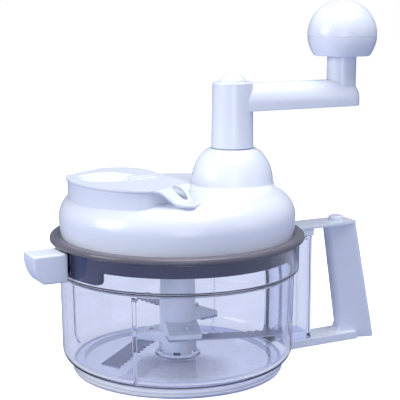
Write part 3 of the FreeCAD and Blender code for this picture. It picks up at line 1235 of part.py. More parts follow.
def build_blade_shaft():
    """Tapered hollow shaft: three wings over the blades, a sleeve on the pin and a drive hexagon."""
    body = new_body("blade_shaft")
    outside = sketch_on(body, "XZ_Plane")
    outline(outside, [
        ("0", "shaft_foot"),
        ("shaft_foot_radius", "shaft_foot"),
        ("shaft_neck_radius", "shaft_neck"),
        ("shaft_neck_radius", "shaft_top"),
        ("0", "shaft_top")])
    turn_profile(body, "Revolution", outside)
    for index in range(3):
        wing = sketch_on(body, "YZ_Plane", turn=blade_direction(index), shift="-blade_root")
        low = blade_height(index) + " + blade_thickness"
        outline(wing, [
            ("-blade_outer", low),
            ("0", low),
            ("0", low + " + wing_rise"),
            ("-wing_shoulder", low + " + wing_rise"),
            ("-blade_outer", low + " + wing_edge")])
        extrude(body, "Pad", wing, "blade_root + wing_front")
        stake = sketch_on(body, "XY_Plane", height=low, turn=blade_direction(index))
        circle(stake, "stake_along", "-stake_place", "stake_radius")
        extrude(body, "Pocket", stake, "wing_rise + 1", backwards=True)
    head = sketch_on(body, "XY_Plane", height="shaft_top")
    hexagon(head, "hex_across")
    extrude(body, "Pad", head, "socket_depth - 2 * axial_play")
    sleeve_bore = "pin_radius + running_fit"
    tube = "shaft_foot_radius - shaft_wall"
    bore = sketch_on(body, "XZ_Plane")
    outline(bore, rectangle("0", sleeve_bore, "shaft_foot - 1", "pin_top + axial_play"))
    turn_profile(body, "Groove", bore)
    annulus = sketch_on(body, "XZ_Plane")
    sleeve_foot = "foot_height + bowl_floor + boss_rise + axial_play"
    outline(annulus, [
        ("0", "shaft_foot - 1"),
        (tube, "shaft_foot - 1"),
        (tube + " - crown / 8", "pin_top + axial_play"),
        (sleeve_bore + " + sleeve_wall", "pin_top + axial_play"),
        (sleeve_bore + " + sleeve_wall", sleeve_foot),
        ("0", sleeve_foot)])
    turn_profile(body, "Groove", annulus)
    upper = sketch_on(body, "XZ_Plane")
    outline(upper, rectangle("0", "shaft_neck_radius - shaft_wall", "pin_top + axial_play + crown",
                             "shaft_top - crown"))
    turn_profile(body, "Groove", upper)
    notch = sketch_on(body, "YZ_Plane", shift="shaft_foot_radius / 2")
    outline(notch, rectangle("-castle_width / 2", "castle_width / 2", "shaft_foot - 1",
                             "shaft_foot + castle_depth"))
    repeat_round(body, extrude(body, "Pocket", notch, "shaft_foot_radius", backwards=True), "castle_count")


def build_blade(label, index):
    """Flat steel blade with a plain back, a pointed tip, a serrated edge and a hole for its stake."""
    body = new_body(label)
    height = blade_height(index)
    plan = sketch_on(body, "XY_Plane", height=height, turn=blade_direction(index))
    outline(plan, [
        ("-blade_root", "-blade_outer"),
        ("blade_reach", "-blade_outer"),
        ("blade_tip", "-blade_inner"),
        ("-blade_root", "-blade_inner")])
    extrude(body, "Pad", plan, "blade_thickness")
    hole = sketch_on(body, "XY_Plane", height=height, turn=blade_direction(index))
    circle(hole, "stake_along", "-stake_place", "stake_radius")
    extrude(body, "Pocket", hole, "blade_thickness", backwards=True)
    scallop = "(((serration_pitch - serration_gap) ^ 2 / 4 + serration_depth ^ 2) / (2 * serration_depth))"
    tooth = sketch_on(body, "XY_Plane", height=height, turn=blade_direction(index))
    circle(tooth, "serration_start", "%s - serration_depth - blade_inner" % scallop, scallop)
    cut = extrude(body, "Pocket", tooth, "blade_thickness", backwards=True)
    row = body.newObject("PartDesign::LinearPattern", label + "_serrations")
    row.Originals = [cut]
    row.Direction = (tooth, ["H_Axis"])
    bind(row, "Length", "serration_pitch * (serration_count - 1)")
    bind(row, "Occurrences", "serration_count")
    body.Tip = row


def build_blade_rivets():
    """Three stakes, one through each blade and its wing."""
    stakes = []
    for index in range(3):
        turn = blade_direction(index)
        stakes.append(cylinder("stake_%d" % index, "stake_radius", "stake_rise",
                               "stake_along * cos(%s) + stake_place * sin(%s)" % (turn, turn),
                               "stake_along * sin(%s) - stake_place * cos(%s)" % (turn, turn),
                               blade_height(index)))
    group_of("blade_rivets", stakes)


def build_egg_separator():
    """Tray on the chute: plug, yolk cup, slot with its raised bar, and the tongue on the lid."""
    body = new_body("egg_separator")
    low = "chute_top + tray_seat"
    high = low + " + tray_thickness"
    plate = sketch_on(body, "XY_Plane", height=low)
    outline(plate, chute_outline("tray_end", "tray_corner", "-tray_lip"))
    extrude(body, "Pad", plate, "tray_thickness")
    tongue = sketch_on(body, "XY_Plane", height=low + " - tongue_drop", turn="tongue_turn")
    round_start = "tongue_tip - tongue_half"
    outline(tongue, [
        ("tongue_root", "-tongue_side - tongue_flare"),
        ("tongue_start", "-tongue_side - tongue_flare"),
        (round_start, "-tongue_side - tongue_half", "tongue_half"),
        ("tongue_tip", "-tongue_side", "tongue_half"),
        (round_start, "-tongue_side + tongue_half"),
        ("tongue_start", "-tongue_side + tongue_flare"),
        ("tongue_root", "-tongue_side + tongue_flare")])
    extrude(body, "Pad", tongue, "tongue_drop + tray_thickness")
    ease = "tongue_bend * sin(tongue_slope)"
    dip = "tongue_bend * (1 - cos(tongue_slope))"
    foot = "tongue_start + 2 * %s + (tongue_drop - 2 * %s) / tan(tongue_slope)" % (ease, dip)

    def fall(top):
        return [("tongue_start", top, "-tongue_bend"),
                ("tongue_start + " + ease, "%s - %s" % (top, dip)),
                ("%s - %s" % (foot, ease), "%s - tongue_drop + %s" % (top, dip), "tongue_bend"),
                (foot, top + " - tongue_drop")]

    above = sketch_on(body, "XZ_Plane", turn="tongue_turn")
    outline(above, fall(high) + [
        ("tongue_tip + 5", high + " - tongue_drop"),
        ("tongue_tip + 5", high + " + 1"),
        ("tongue_start", high + " + 1")])
    extrude(body, "Pocket", above, "3 * tongue_side", both=True)
    below = sketch_on(body, "XZ_Plane", turn="tongue_turn")
    outline(below, fall(low)[:3] + [
        (foot, low + " - tongue_drop"),
        (foot, low + " - 2 * tongue_drop"),
        ("tongue_root - 1", low + " - 2 * tongue_drop"),
        ("tongue_root - 1", low)])
    extrude(body, "Pocket", below, "3 * tongue_side", both=True)
    gap = "(chute_wall + plug_fit)"
    skirt = sketch_on(body, "XY_Plane", height=low + " - plug_depth")
    outline(skirt, chute_outline("chute_inner", "chute_corner", gap))
    extrude(body, "Pad", skirt, "plug_depth")
    hollow = sketch_on(body, "XY_Plane", height=low + " - plug_depth")
    deep = "(chute_wall + plug_fit + plug_wall)"
    outline(hollow, chute_outline("chute_inner", "chute_corner", deep))
    extrude(body, "Pocket", hollow, "plug_depth", backwards=True)
    rise = "sqrt(cup_sphere ^ 2 - cup_radius ^ 2)"
    bowl_outer = sketch_on(body, "XZ_Plane", across="-cup_place", shift="-cup_side")
    outer = "(cup_sphere + cup_wall)"
    outline(bowl_outer, [
        ("0", "%s + %s - %s" % (high, rise, outer), outer),
        ("sqrt(%s ^ 2 - (%s + tray_thickness) ^ 2)" % (outer, rise), low),
        ("0", low)])
    turn_profile(body, "Revolution", bowl_outer)
    dish = sketch_on(body, "XZ_Plane", across="-cup_place", shift="-cup_side")
    outline(dish, [
        ("0", "%s + %s - cup_sphere" % (high, rise), "cup_sphere"),
        ("cup_radius", high),
        ("0", high)])
    turn_profile(body, "Groove", dish)
    bar = sketch_on(body, "XY_Plane", height=low)
    outline(bar, rectangle("-bar_start", "-bar_end", "-bar_near", "bar_far"))
    extrude(body, "Pad", bar, "tray_thickness + bar_rise")
    root = sketch_on(body, "XY_Plane", height=low + " - tray_thickness")
    outline(root, rectangle("-bar_start", "-chute_inner - 2 * chute_wall", "-bar_near", "bar_far"))
    extrude(body, "Pad", root, "2 * tray_thickness")
    slot = sketch_on(body, "XY_Plane", height=low + " - plug_depth - tongue_drop")
    outline(slot, [
        ("-bar_start - slot_width", "-bar_near"),
        ("-bar_start", "-bar_near"),
        ("-bar_start", "bar_far"),
        ("-slot_reach", "bar_far"),
        ("-slot_reach", "bar_far + slot_width / 2"),
        ("(-bar_start - slot_reach) / 2", "slot_bulge"),
        ("-bar_start - slot_width", "bar_far + slot_width")])
    extrude(body, "Pocket", slot, "plug_depth + tongue_drop + tray_thickness", backwards=True)
    oval = sketch_on(body, "XY_Plane", height=low + " - 2 * tongue_drop", turn="tongue_turn")
    side = "tongue_hole_width / 2"
    reach = "tongue_hole_length / 2"
    outline(oval, [
        ("tongue_hole_place - %s + %s" % (reach, side), "-tongue_hole_side - " + side),
        ("tongue_hole_place + %s - %s" % (reach, side), "-tongue_hole_side - " + side, side),
        ("tongue_hole_place + " + reach, "-tongue_hole_side", side),
        ("tongue_hole_place + %s - %s" % (reach, side), "-tongue_hole_side + " + side),
        ("tongue_hole_place - %s + %s" % (reach, side), "-tongue_hole_side + " + side, side),
        ("tongue_hole_place - " + reach, "-tongue_hole_side", side)])
    extrude(body, "Pocket", oval, "3 * tongue_drop", backwards=True)


build_bowl()
build_pivot_pin()
build_base_foot()
build_handle()
build_handle_strap()
build_screw("handle_screw", "screw_place", "strap_top", "screw_head", "screw_head_rise", "screw_radius",
            "strap_thickness + screw_length")
build_handle_cap()
build_ring_frame()
build_grip_tab()
build_lid_shell()
build_gear_dome()
build_feed_chute()
build_gear_cover()
build_cover_screws()
build_crank_bush()
build_crank_arm()
build_crank_spindle()
build_drive_gear()
build_screw("crank_screw", "crank_offset", "column_top - screw_head_depth", "crank_screw_head",
            "screw_head_rise", "crank_screw", "crank_screw_length")
build_crank_cap()
build_knob()
build_knob_pin()
build_drive_pinion()
build_blade_shaft()
for index, blade_name in enumerate(("blade_lower", "blade_middle", "blade_upper")):
    build_blade(blade_name, index)
build_blade_rivets()
build_egg_separator()
doc.recompute()

faults = [thing.Label for thing in doc.Objects if {"Invalid", "Error"} & set(thing.State)]
faults += [part.Label for part in parts if part.Shape.isNull() or not part.Shape.isValid()]
if faults:
    raise RuntimeError("these objects failed: " + ", ".join(faults))

os.makedirs("parts", exist_ok=True)
for part in parts:
    part.Shape.exportStep("parts/%s.step" % part.Label)
    box = part.Shape.BoundBox
    print("%-16s solids %d  volume %9.0f  z %7.2f to %7.2f"
          % (part.Label, len(part.Shape.Solids), part.Shape.Volume, box.ZMin, box.ZMax))
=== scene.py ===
import bpy
import math
from mathutils import Matrix, Vector


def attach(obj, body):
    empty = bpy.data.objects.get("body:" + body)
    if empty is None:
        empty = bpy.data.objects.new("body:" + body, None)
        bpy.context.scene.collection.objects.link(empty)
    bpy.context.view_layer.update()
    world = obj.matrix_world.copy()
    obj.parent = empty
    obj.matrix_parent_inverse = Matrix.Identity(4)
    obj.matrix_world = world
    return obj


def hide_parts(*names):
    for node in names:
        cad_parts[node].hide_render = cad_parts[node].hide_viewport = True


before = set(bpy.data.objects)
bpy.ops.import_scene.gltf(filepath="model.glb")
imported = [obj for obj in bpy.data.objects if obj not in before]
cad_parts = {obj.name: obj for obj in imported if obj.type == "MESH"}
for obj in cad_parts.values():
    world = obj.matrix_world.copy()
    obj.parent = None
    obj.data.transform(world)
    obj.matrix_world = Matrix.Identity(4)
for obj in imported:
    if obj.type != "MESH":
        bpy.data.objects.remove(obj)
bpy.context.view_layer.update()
print("frame loaded")

mm = 0.001
past = 1    # how far a cutting or joining piece reaches beyond the face that it meets, in millimetres


# ---- small tools for modelling; lengths are in millimetres until a vertex is placed

def deselectAll():
    if bpy.context.object and bpy.context.object.mode != "OBJECT":
        bpy.ops.object.mode_set(mode="OBJECT")
    bpy.ops.object.select_all(action="DESELECT")


def chooseOnly(piece):
    deselectAll()
    piece.select_set(True)
    bpy.context.view_layer.objects.active = piece


def smoothFaces(piece, angle=35):
    chooseOnly(piece)
    bpy.ops.object.shade_smooth_by_angle(angle=math.radians(angle))


def closeMesh():
    # ends edit mode with double points merged and the faces turned outward
    bpy.ops.mesh.select_all(action="SELECT")
    bpy.ops.mesh.remove_doubles(threshold=0.000002)
    bpy.ops.mesh.normals_make_consistent(inside=False)
    bpy.ops.object.mode_set(mode="OBJECT")


def drawLine(name, points):
    # a plane is merged to one vertex, and that vertex is extruded from point to point
    places = [Vector(point) * mm for point in points]
    deselectAll()
    bpy.ops.mesh.primitive_plane_add(size=0.002, location=places[0])
    piece = bpy.context.object
    piece.name = name
    piece.data.name = name
    bpy.ops.object.transform_apply(location=True, rotation=True, scale=True)
    bpy.ops.object.mode_set(mode="EDIT")
    bpy.ops.mesh.select_all(action="SELECT")
    bpy.ops.mesh.merge(type="CENTER")
    for here, there in zip(places, places[1:]):
        bpy.ops.mesh.extrude_region_move(TRANSFORM_OT_translate={"value": there - here})
    bpy.ops.mesh.select_all(action="SELECT")
    return piece


def arcLine(x, y, radius, start, end, steps=10):
    # points along an arc, from the start angle to the end angle in degrees
    turns = [math.radians(start + (end - start) * step / steps) for step in range(steps + 1)]
    return [(x + radius * math.cos(turn), y + radius * math.sin(turn)) for turn in turns]


def softCorners(corners, closed=True, steps=5):
    # a corner is (x, y) or (x, y, rounding); a rounding becomes an arc, with the steps for a right angle
    points = []
    for index, corner in enumerate(corners):
        here = Vector(corner[:2])
        atEnd = not closed and index in (0, len(corners) - 1)
        if len(corner) == 2 or atEnd:
            points.append(tuple(here))
            continue
        back = (Vector(corners[index - 1][:2]) - here).normalized()
        ahead = (Vector(corners[(index + 1) % len(corners)][:2]) - here).normalized()
        half = back.angle(ahead) / 2
        centre = here + (back + ahead).normalized() * corner[2] / math.sin(half)
        first = here + back * corner[2] / math.tan(half) - centre
        last = here + ahead * corner[2] / math.tan(half) - centre
        start = math.degrees(math.atan2(first.y, first.x))
        sweep = (math.degrees(math.atan2(last.y, last.x)) - start + 180) % 360 - 180
        points += arcLine(centre.x, centre.y, corner[2], start, start + sweep,
                          max(2, round(abs(sweep) / 90 * steps)))
    return points


def turned(name, section, axis=(0, 0), steps=144, closed=True):
    # a half section (radius, height) is spun about an upright axis
    loop = list(section) + ([section[0]] if closed else [])
    piece = drawLine(name, [(axis[0] + r, axis[1], z) for r, z in loop])
    bpy.ops.mesh.spin(steps=steps, angle=math.radians(360), axis=(0, 0, 1),
                      center=(axis[0] * mm, axis[1] * mm, 0))
    closeMesh()
    smoothFaces(piece)
    return piece


def slab(name, outline, low, high, lie="top"):
    # an outline is filled and extruded: lie "top" draws it in plan, "side" in X and Z, "end" in Y and Z
    place = {"top": lambda a, b, c: (a, b, c),
             "side": lambda a, b, c: (a, c, b),
             "end": lambda a, b, c: (c, a, b)}[lie]
    piece = drawLine(name, [place(x, y, low) for x, y in outline])
    bpy.ops.mesh.edge_face_add()
    bpy.ops.mesh.extrude_region_move(
        TRANSFORM_OT_translate={"value": Vector(place(0, 0, high - low)) * mm})
    closeMesh()
    smoothFaces(piece)
    return piece


def uprightCylinder(radius, low, high):
    # the half section that turned() spins into a plain cylinder
    return [(0, low), (radius, low), (radius, high), (0, high)]


def boxOutline(x0, x1, y0, y1, rounding=0):
    corner = (rounding,) if rounding else ()
    return softCorners([place + corner for place in ((x0, y0), (x1, y0), (x1, y1), (x0, y1))])


def applyAll(piece):
    chooseOnly(piece)
    for modifier in list(piece.modifiers):
        bpy.ops.object.modifier_apply(modifier=modifier.name)


def softenEdges(piece, width, segments=3, angle=40):
    chooseOnly(piece)
    bpy.ops.object.modifier_add(type="BEVEL")
    soft = piece.modifiers[-1]
    soft.width = width * mm
    soft.segments = segments
    soft.limit_method = "ANGLE"
    soft.angle_limit = math.radians(angle)
    soft.harden_normals = False
    applyAll(piece)
    smoothFaces(piece)
    return piece


def combine(piece, others, how):
    # how is UNION, DIFFERENCE or INTERSECT; the other pieces are used up
    for other in others:
        chooseOnly(piece)
        bpy.ops.object.modifier_add(type="BOOLEAN")
        join = piece.modifiers[-1]
        join.operation = how
        join.solver = "EXACT"
        join.object = other
        applyAll(piece)
        bpy.data.objects.remove(other)
    smoothFaces(piece)
    return piece


def turnBy(piece, degrees):
    # turned about Z through its vertices, so that the object itself stays at the origin
    piece.data.transform(Matrix.Rotation(math.radians(degrees), 4, "Z"))
    return piece


def shiftBy(piece, x, y, z):
    piece.data.transform(Matrix.Translation(Vector((x, y, z)) * mm))
    return piece


def twin(piece, name):
    copy = piece.copy()
    copy.data = piece.data.copy()
    copy.name = name
    copy.data.name = name
    bpy.context.scene.collection.objects.link(copy)
    return copy


def finishPiece(piece, finish, body, nodes):
    piece.data.materials.clear()
    piece.data.materials.append(finish)
    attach(piece, body)
    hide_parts(*nodes)


# ---- finishes

def linearColour(code):
    channels = [int(code[place:place + 2], 16) / 255 for place in (1, 3, 5)]
    linear = [c / 12.92 if c <= 0.04045 else ((c + 0.055) / 1.055) ** 2.4 for c in channels]
    return tuple(linear) + (1.0,)


def addNode(tree, kind, settings=None, links=None):
    node = tree.nodes.new(kind)
    for name, value in (settings or {}).items():
        if name in node.inputs:
            node.inputs[name].default_value = value
        else:
            setattr(node, name, value)
    for name, source in (links or {}).items():
        tree.links.new(source, node.inputs[name])
    return node


def newFinish(name):
    finish = bpy.data.materials.new(name)
    finish.use_nodes = True
    finish.node_tree.nodes.clear()
    return finish, finish.node_tree


def blendColours(tree, low, high, factor):
    # from the low colour at factor 0 to the high one at 1
    tint = addNode(tree, "ShaderNodeMix", {"data_type": "RGBA"}, {"Factor": factor})
    tint.inputs["A"].default_value = linearColour(low)
    tint.inputs["B"].default_value = linearColour(high)
    return tint.outputs["Result"]


def unevenGloss(tree, rough, spread, factor):
    # roughness that varies by the spread, as a share of itself
    wear = addNode(tree, "ShaderNodeMapRange",
                   {"To Min": rough * (1 - spread), "To Max": rough * (1 + spread)}, {"Value": factor})
    return wear.outputs["Result"]


def mixShaders(tree, first, second, factor):
    mix = addNode(tree, "ShaderNodeMixShader", {}, {"Fac": factor})
    tree.links.new(first, mix.inputs[1])
    tree.links.new(second, mix.inputs[2])
    return mix.outputs["Shader"]


def mathNode(tree, operation, first, second):
    # the second value is a number or another node's output
    node = addNode(tree, "ShaderNodeMath", {"operation": operation})
    tree.links.new(first, node.inputs[0])
    if isinstance(second, float):
        node.inputs[1].default_value = second
    else:
        tree.links.new(second, node.inputs[1])
    return node.outputs["Value"]


def mouldedGrain(tree, spacing, strength, roundEdge=0.0):
    # moulded skin: a shallow swell, and corners that catch the light as if rounded
    place = addNode(tree, "ShaderNodeTexCoord")
    swell = addNode(tree, "ShaderNodeTexNoise", {"Scale": 1 / (spacing * mm), "Detail": 2.0},
                    {"Vector": place.outputs["Object"]})
    links = {"Height": swell.outputs["Fac"]}
    if roundEdge:
        edge = addNode(tree, "ShaderNodeBevel", {"Radius": roundEdge * mm, "samples": 6})
        links["Normal"] = edge.outputs["Normal"]
    return swell, addNode(tree, "ShaderNodeBump", {"Strength": strength, "Distance": 0.1 * mm}, links)


def glossPlastic(name, pale, deep, rough, roundEdge):
    # injection-moulded ABS or acetal: even colour, soft gloss, a faint swell in the reflections
    finish, tree = newFinish(name)
    swell, bump = mouldedGrain(tree, 14, 0.12, roundEdge)
    tint = blendColours(tree, pale, deep, swell.outputs["Fac"])
    gloss = unevenGloss(tree, rough, 0.15, swell.outputs["Fac"])
    skin = addNode(tree, "ShaderNodeBsdfPrincipled", {"IOR": 1.53},
                   {"Base Color": tint, "Roughness": gloss, "Normal": bump.outputs["Normal"]})
    addNode(tree, "ShaderNodeOutputMaterial", {}, {"Surface": skin.outputs["BSDF"]})
    return finish


def clearPlastic(name, tint, paintedEdgeShade, absorb, density, rough, ior, shine=0.5, milkyFrom=None):
    # clear moulding: blue where the light travels far inside the wall; at grazing angles the colour turns to
    # a darker painted shade, standing in for dark edge lines;
    # milkyFrom is the distance from the axis where a worn outer rim turns milky
    grazingFrom = 0.88
    milky = {"band": 2, "through": 0.35}
    finish, tree = newFinish(name)
    swell, bump = mouldedGrain(tree, 18, 0.05)
    gloss = unevenGloss(tree, rough, 0.2, swell.outputs["Fac"])
    # painted shade: where the surface is seen at a grazing angle, the base colour blends to the darker
    # painted edge shade
    facing = addNode(tree, "ShaderNodeLayerWeight", {"Blend": 0.5})
    grazing = addNode(tree, "ShaderNodeMapRange", {"From Min": grazingFrom, "From Max": 1.0},
                      {"Value": facing.outputs["Facing"]})
    paintedGrazingShadeTint = blendColours(tree, tint, paintedEdgeShade, grazing.outputs["Result"])
    skin = addNode(tree, "ShaderNodeBsdfPrincipled",
                   {"IOR": ior, "Transmission Weight": 1.0, "Specular IOR Level": shine},
                   {"Base Color": paintedGrazingShadeTint, "Roughness": gloss, "Normal": bump.outputs["Normal"]})
    if milkyFrom:
        place = addNode(tree, "ShaderNodeTexCoord")
        flat = addNode(tree, "ShaderNodeVectorMath", {"operation": "MULTIPLY"})
        tree.links.new(place.outputs["Object"], flat.inputs[0])
        flat.inputs[1].default_value = (1, 1, 0)
        radius = addNode(tree, "ShaderNodeVectorMath", {"operation": "LENGTH"})
        tree.links.new(flat.outputs["Vector"], radius.inputs[0])
        clear = addNode(tree, "ShaderNodeMapRange",
                        {"From Min": milkyFrom * mm, "From Max": (milkyFrom + milky["band"]) * mm,
                         "To Min": 1.0, "To Max": milky["through"]},
                        {"Value": radius.outputs["Value"]})
        tree.links.new(clear.outputs["Result"], skin.inputs["Transmission Weight"])
    through = addNode(tree, "ShaderNodeBsdfTransparent", {"Color": linearColour(tint)})
    ray = addNode(tree, "ShaderNodeLightPath")
    surface = mixShaders(tree, skin.outputs["BSDF"], through.outputs["BSDF"], ray.outputs["Is Shadow Ray"])
    depth = addNode(tree, "ShaderNodeVolumeAbsorption", {"Color": linearColour(absorb), "Density": density})
    addNode(tree, "ShaderNodeOutputMaterial", {}, {"Surface": surface, "Volume": depth.outputs["Volume"]})
    return finish


def smokePlastic(name, rim, skirt, edge, rough):
    # smoke-tinted SAN, mauve-grey at the thick rim; below the edge height the skirt is painted deep navy,
    # painted shade for the shade inside the neck and for the blue bowl in front of it
    fade = 0.4
    finish, tree = newFinish(name)
    swell, bump = mouldedGrain(tree, 16, 0.08, 0.6)
    place = addNode(tree, "ShaderNodeTexCoord")
    height = addNode(tree, "ShaderNodeSeparateXYZ", {}, {"Vector": place.outputs["Object"]})
    above = addNode(tree, "ShaderNodeMapRange",
                    {"From Min": (edge - fade) * mm, "From Max": (edge + fade) * mm},
                    {"Value": height.outputs["Z"]})
    # painted shade: the colour blends from the rim's mauve-grey to the painted navy below the edge height
    tint = blendColours(tree, skirt, rim, above.outputs["Result"])
    gloss = unevenGloss(tree, rough, 0.15, swell.outputs["Fac"])
    skin = addNode(tree, "ShaderNodeBsdfPrincipled", {"IOR": 1.57, "Specular IOR Level": 0.3},
                   {"Base Color": tint, "Roughness": gloss, "Normal": bump.outputs["Normal"]})
    addNode(tree, "ShaderNodeOutputMaterial", {}, {"Surface": skin.outputs["BSDF"]})
    return finish


def milkyPlastic(name, colour, rough, through):
    # unfilled polypropylene: light soaks in and comes out softened
    finish, tree = newFinish(name)
    swell, bump = mouldedGrain(tree, 9, 0.15, 0.4)
    gloss = unevenGloss(tree, rough, 0.15, swell.outputs["Fac"])
    skin = addNode(tree, "ShaderNodeBsdfPrincipled",
                   {"Base Color": linearColour(colour), "IOR": 1.49, "Transmission Weight": through,
                    "Subsurface Weight": 0.3, "Subsurface Scale": 3 * mm},
                   {"Roughness": gloss, "Normal": bump.outputs["Normal"]})
    addNode(tree, "ShaderNodeOutputMaterial", {}, {"Surface": skin.outputs["BSDF"]})
    return finish


def brushedSteel(name, colour, rough, stretch, spacing):
    # stainless sheet or bar: a fine grain, which an uneven stretch draws out into lines
    finish, tree = newFinish(name)
    place = addNode(tree, "ShaderNodeTexCoord")
    lines = addNode(tree, "ShaderNodeMapping", {"Scale": stretch}, {"Vector": place.outputs["Object"]})
    brush = addNode(tree, "ShaderNodeTexNoise", {"Scale": 1 / (spacing * mm), "Detail": 3.0},
                    {"Vector": lines.outputs["Vector"]})
    gloss = unevenGloss(tree, rough, 0.3, brush.outputs["Fac"])
    bump = addNode(tree, "ShaderNodeBump", {"Strength": 0.2, "Distance": 0.05 * mm},
                   {"Height": brush.outputs["Fac"]})
    skin = addNode(tree, "ShaderNodeBsdfPrincipled", {"Base Color": linearColour(colour), "Metallic": 1.0},
                   {"Roughness": gloss, "Normal": bump.outputs["Normal"]})
    addNode(tree, "ShaderNodeOutputMaterial", {}, {"Surface": skin.outputs["BSDF"]})
    return finish


whiteAbs = glossPlastic("White gloss ABS", "#ebeffa", "#e7ecf9", 0.24, 1.0)
# the second colour, #6f83cc, is painted shade at the bowl's grazing edges
clearSan = clearPlastic("Clear blue-tinted SAN", "#ebeefa", "#6f83cc", "#a7b8e4", 30.0, 0.03, 1.52)
# 0c1242 is painted navy shade for the skirt inside the neck, below 91.3 mm
smokeSan = smokePlastic("Smoke-tinted SAN", "#6f6b76", "#0c1242", 91.3, 0.2)
milkyPp = milkyPlastic("Milky polypropylene", "#f2f6fe", 0.3, 0.3)
# the second colour, #dde3f6, is painted shade at the foot's grazing edges
softTpe = clearPlastic("Clear soft TPE", "#fbfcff", "#dde3f6", "#93abe0", 25.0, 0.08, 1.49, 0.15, 70)
naturalPom = glossPlastic("Natural acetal", "#e8e8e4", "#e2e2dc", 0.38, 0.15)
bladeSteel = brushedSteel("Brushed stainless sheet", "#9c9eb2", 0.3, (1, 1, 1), 0.4)
turnedSteel = brushedSteel("Turned steel", "#bfc3ca", 0.22, (1, 1, 8), 0.6)
print("finishes made")


# ---- the chute's outline, which the lid and the egg separator share

chute = {"inner": 27, "reach": 75.5, "centre": 6.5, "front": 54, "back": 47, "corner": 16, "round": 14,
         "bottom": 99, "top": 134.4, "wall": 2}


def chuteOutline(inset, inner, corner, steps=10):
    # in plan: a round outer wall at -X, two straight sides and a straight inner wall
    outer = chute["reach"] - chute["centre"] - inset
    bend = corner - inset
    rounding = chute["round"] - inset
    middles = []
    for half in (chute["back"], chute["front"]):
        rise = half - chute["round"]
        along = math.sqrt((outer - rounding) ** 2 - rise ** 2)
        middles.append((-chute["centre"] - along, rise, math.degrees(math.atan2(rise, along))))
    (backX, backY, backTurn), (frontX, frontY, frontTurn) = middles
    points = arcLine(-chute["centre"], 0, outer, 180 - backTurn, 180 + frontTurn, 6 * steps)
    points += arcLine(frontX, -frontY, rounding, 180 + frontTurn, 270, steps)[1:]
    points += arcLine(-inner - inset - bend, -chute["front"] + inset + bend, bend, 270, 360, steps)
    points += arcLine(-inner - inset - bend, chute["back"] - inset - bend, bend, 0, 90, steps)
    points += arcLine(backX, backY, rounding, 90, 180 - backTurn, steps)[:-1]
    return points


# ---- lid with its gear dome and feed chute, one moulding

def makeLid():
    size = {"base": 79.6, "bottom": 88, "baseTop": 94.2, "flare": 0.5, "flareHalf": 2, "radius": 81.5,
            "draft": 0.35, "wide": 108, "sideDrop": 6, "shoulder": 18.5, "wall": 2.4, "tubeEdge": 0.5}
    # the brim rounds the edge of the dome's flat top: steps out from the crown and down from the top
    dome = {"x": 43.5, "radius": 28.8, "centre": 128.5, "top": 151.3, "foot": 1.2, "brimTurn": 5,
            "brim": [(0.3, -0.75), (-0.6, -0.25), (-1.8, 0)], "hollowTurn": 50, "hollowTop": 20.2,
            "bush": 9.15, "boreLow": 140, "boreHigh": 153}
    flat = size["radius"] - size["shoulder"]
    top = size["wide"] + size["shoulder"]
    side = size["radius"] - size["draft"]
    sideLow = size["wide"] - size["sideDrop"]
    outside = [(size["base"], size["bottom"]), (size["base"], size["baseTop"] - size["flareHalf"]),
               (size["base"] + size["flare"], size["baseTop"] + size["flareHalf"]), (side, sideLow)]
    outside += arcLine(flat, size["wide"], size["shoulder"], 0, 90, 20)
    inside = arcLine(flat, size["wide"], size["shoulder"] - size["wall"], 90, 0, 12)
    inside += [(side - size["wall"], sideLow), (size["base"] - size["wall"], size["baseTop"]),
               (size["base"] - size["wall"], size["bottom"])]
    lid = turned("lidMoulding", outside + [(0, top), (0, top - size["wall"])] + inside, steps=180)

    tube = slab("chuteTube", chuteOutline(0, chute["inner"], chute["corner"]), chute["bottom"], chute["top"])
    softenEdges(tube, size["tubeEdge"], 2, 60)
    domeLow = top - size["wall"] / 2
    domeFoot = dome["radius"] + dome["foot"]
    crownTurn = math.degrees(math.asin((dome["top"] - dome["centre"]) / dome["radius"]))
    crown = dome["radius"] * math.cos(math.radians(crownTurn))
    cap = turned("domeCap", [(0, domeLow), (domeFoot, domeLow)]
                 + arcLine(domeFoot, top + dome["foot"], dome["foot"], -90, -180, 5)
                 + arcLine(0, dome["centre"], dome["radius"], 0, crownTurn - dome["brimTurn"], 24)
                 + [(crown + out, dome["top"] + up) for out, up in dome["brim"]]
                 + [(0, dome["top"])], axis=(dome["x"], 0), closed=False, steps=144)
    combine(lid, [tube, cap], "UNION")

    passage = slab("chutePassage", chuteOutline(chute["wall"], chute["inner"], chute["corner"]),
                   chute["bottom"] - past, chute["top"] + past)
    inner = dome["radius"] - size["wall"]
    hollow = turned("domeHollow", [(0, size["wide"]), (inner, size["wide"])]
                    + arcLine(0, dome["centre"], inner, 0, dome["hollowTurn"], 16)
                    + [(0, dome["centre"] + dome["hollowTop"])],
                    axis=(dome["x"], 0), closed=False, steps=96)
    bore = turned("bushBore", uprightCylinder(dome["bush"], dome["boreLow"], dome["boreHigh"]),
                  axis=(dome["x"], 0), closed=False, steps=64)
    combine(lid, [passage, hollow, bore], "DIFFERENCE")
    finishPiece(lid, whiteAbs, "lid_unit", ["lid_shell", "gear_dome", "feed_chute"])


makeLid()
print("lid made")


# ---- egg separator: tray, yolk cup, slot, raised bar and the tongue that falls to the lid

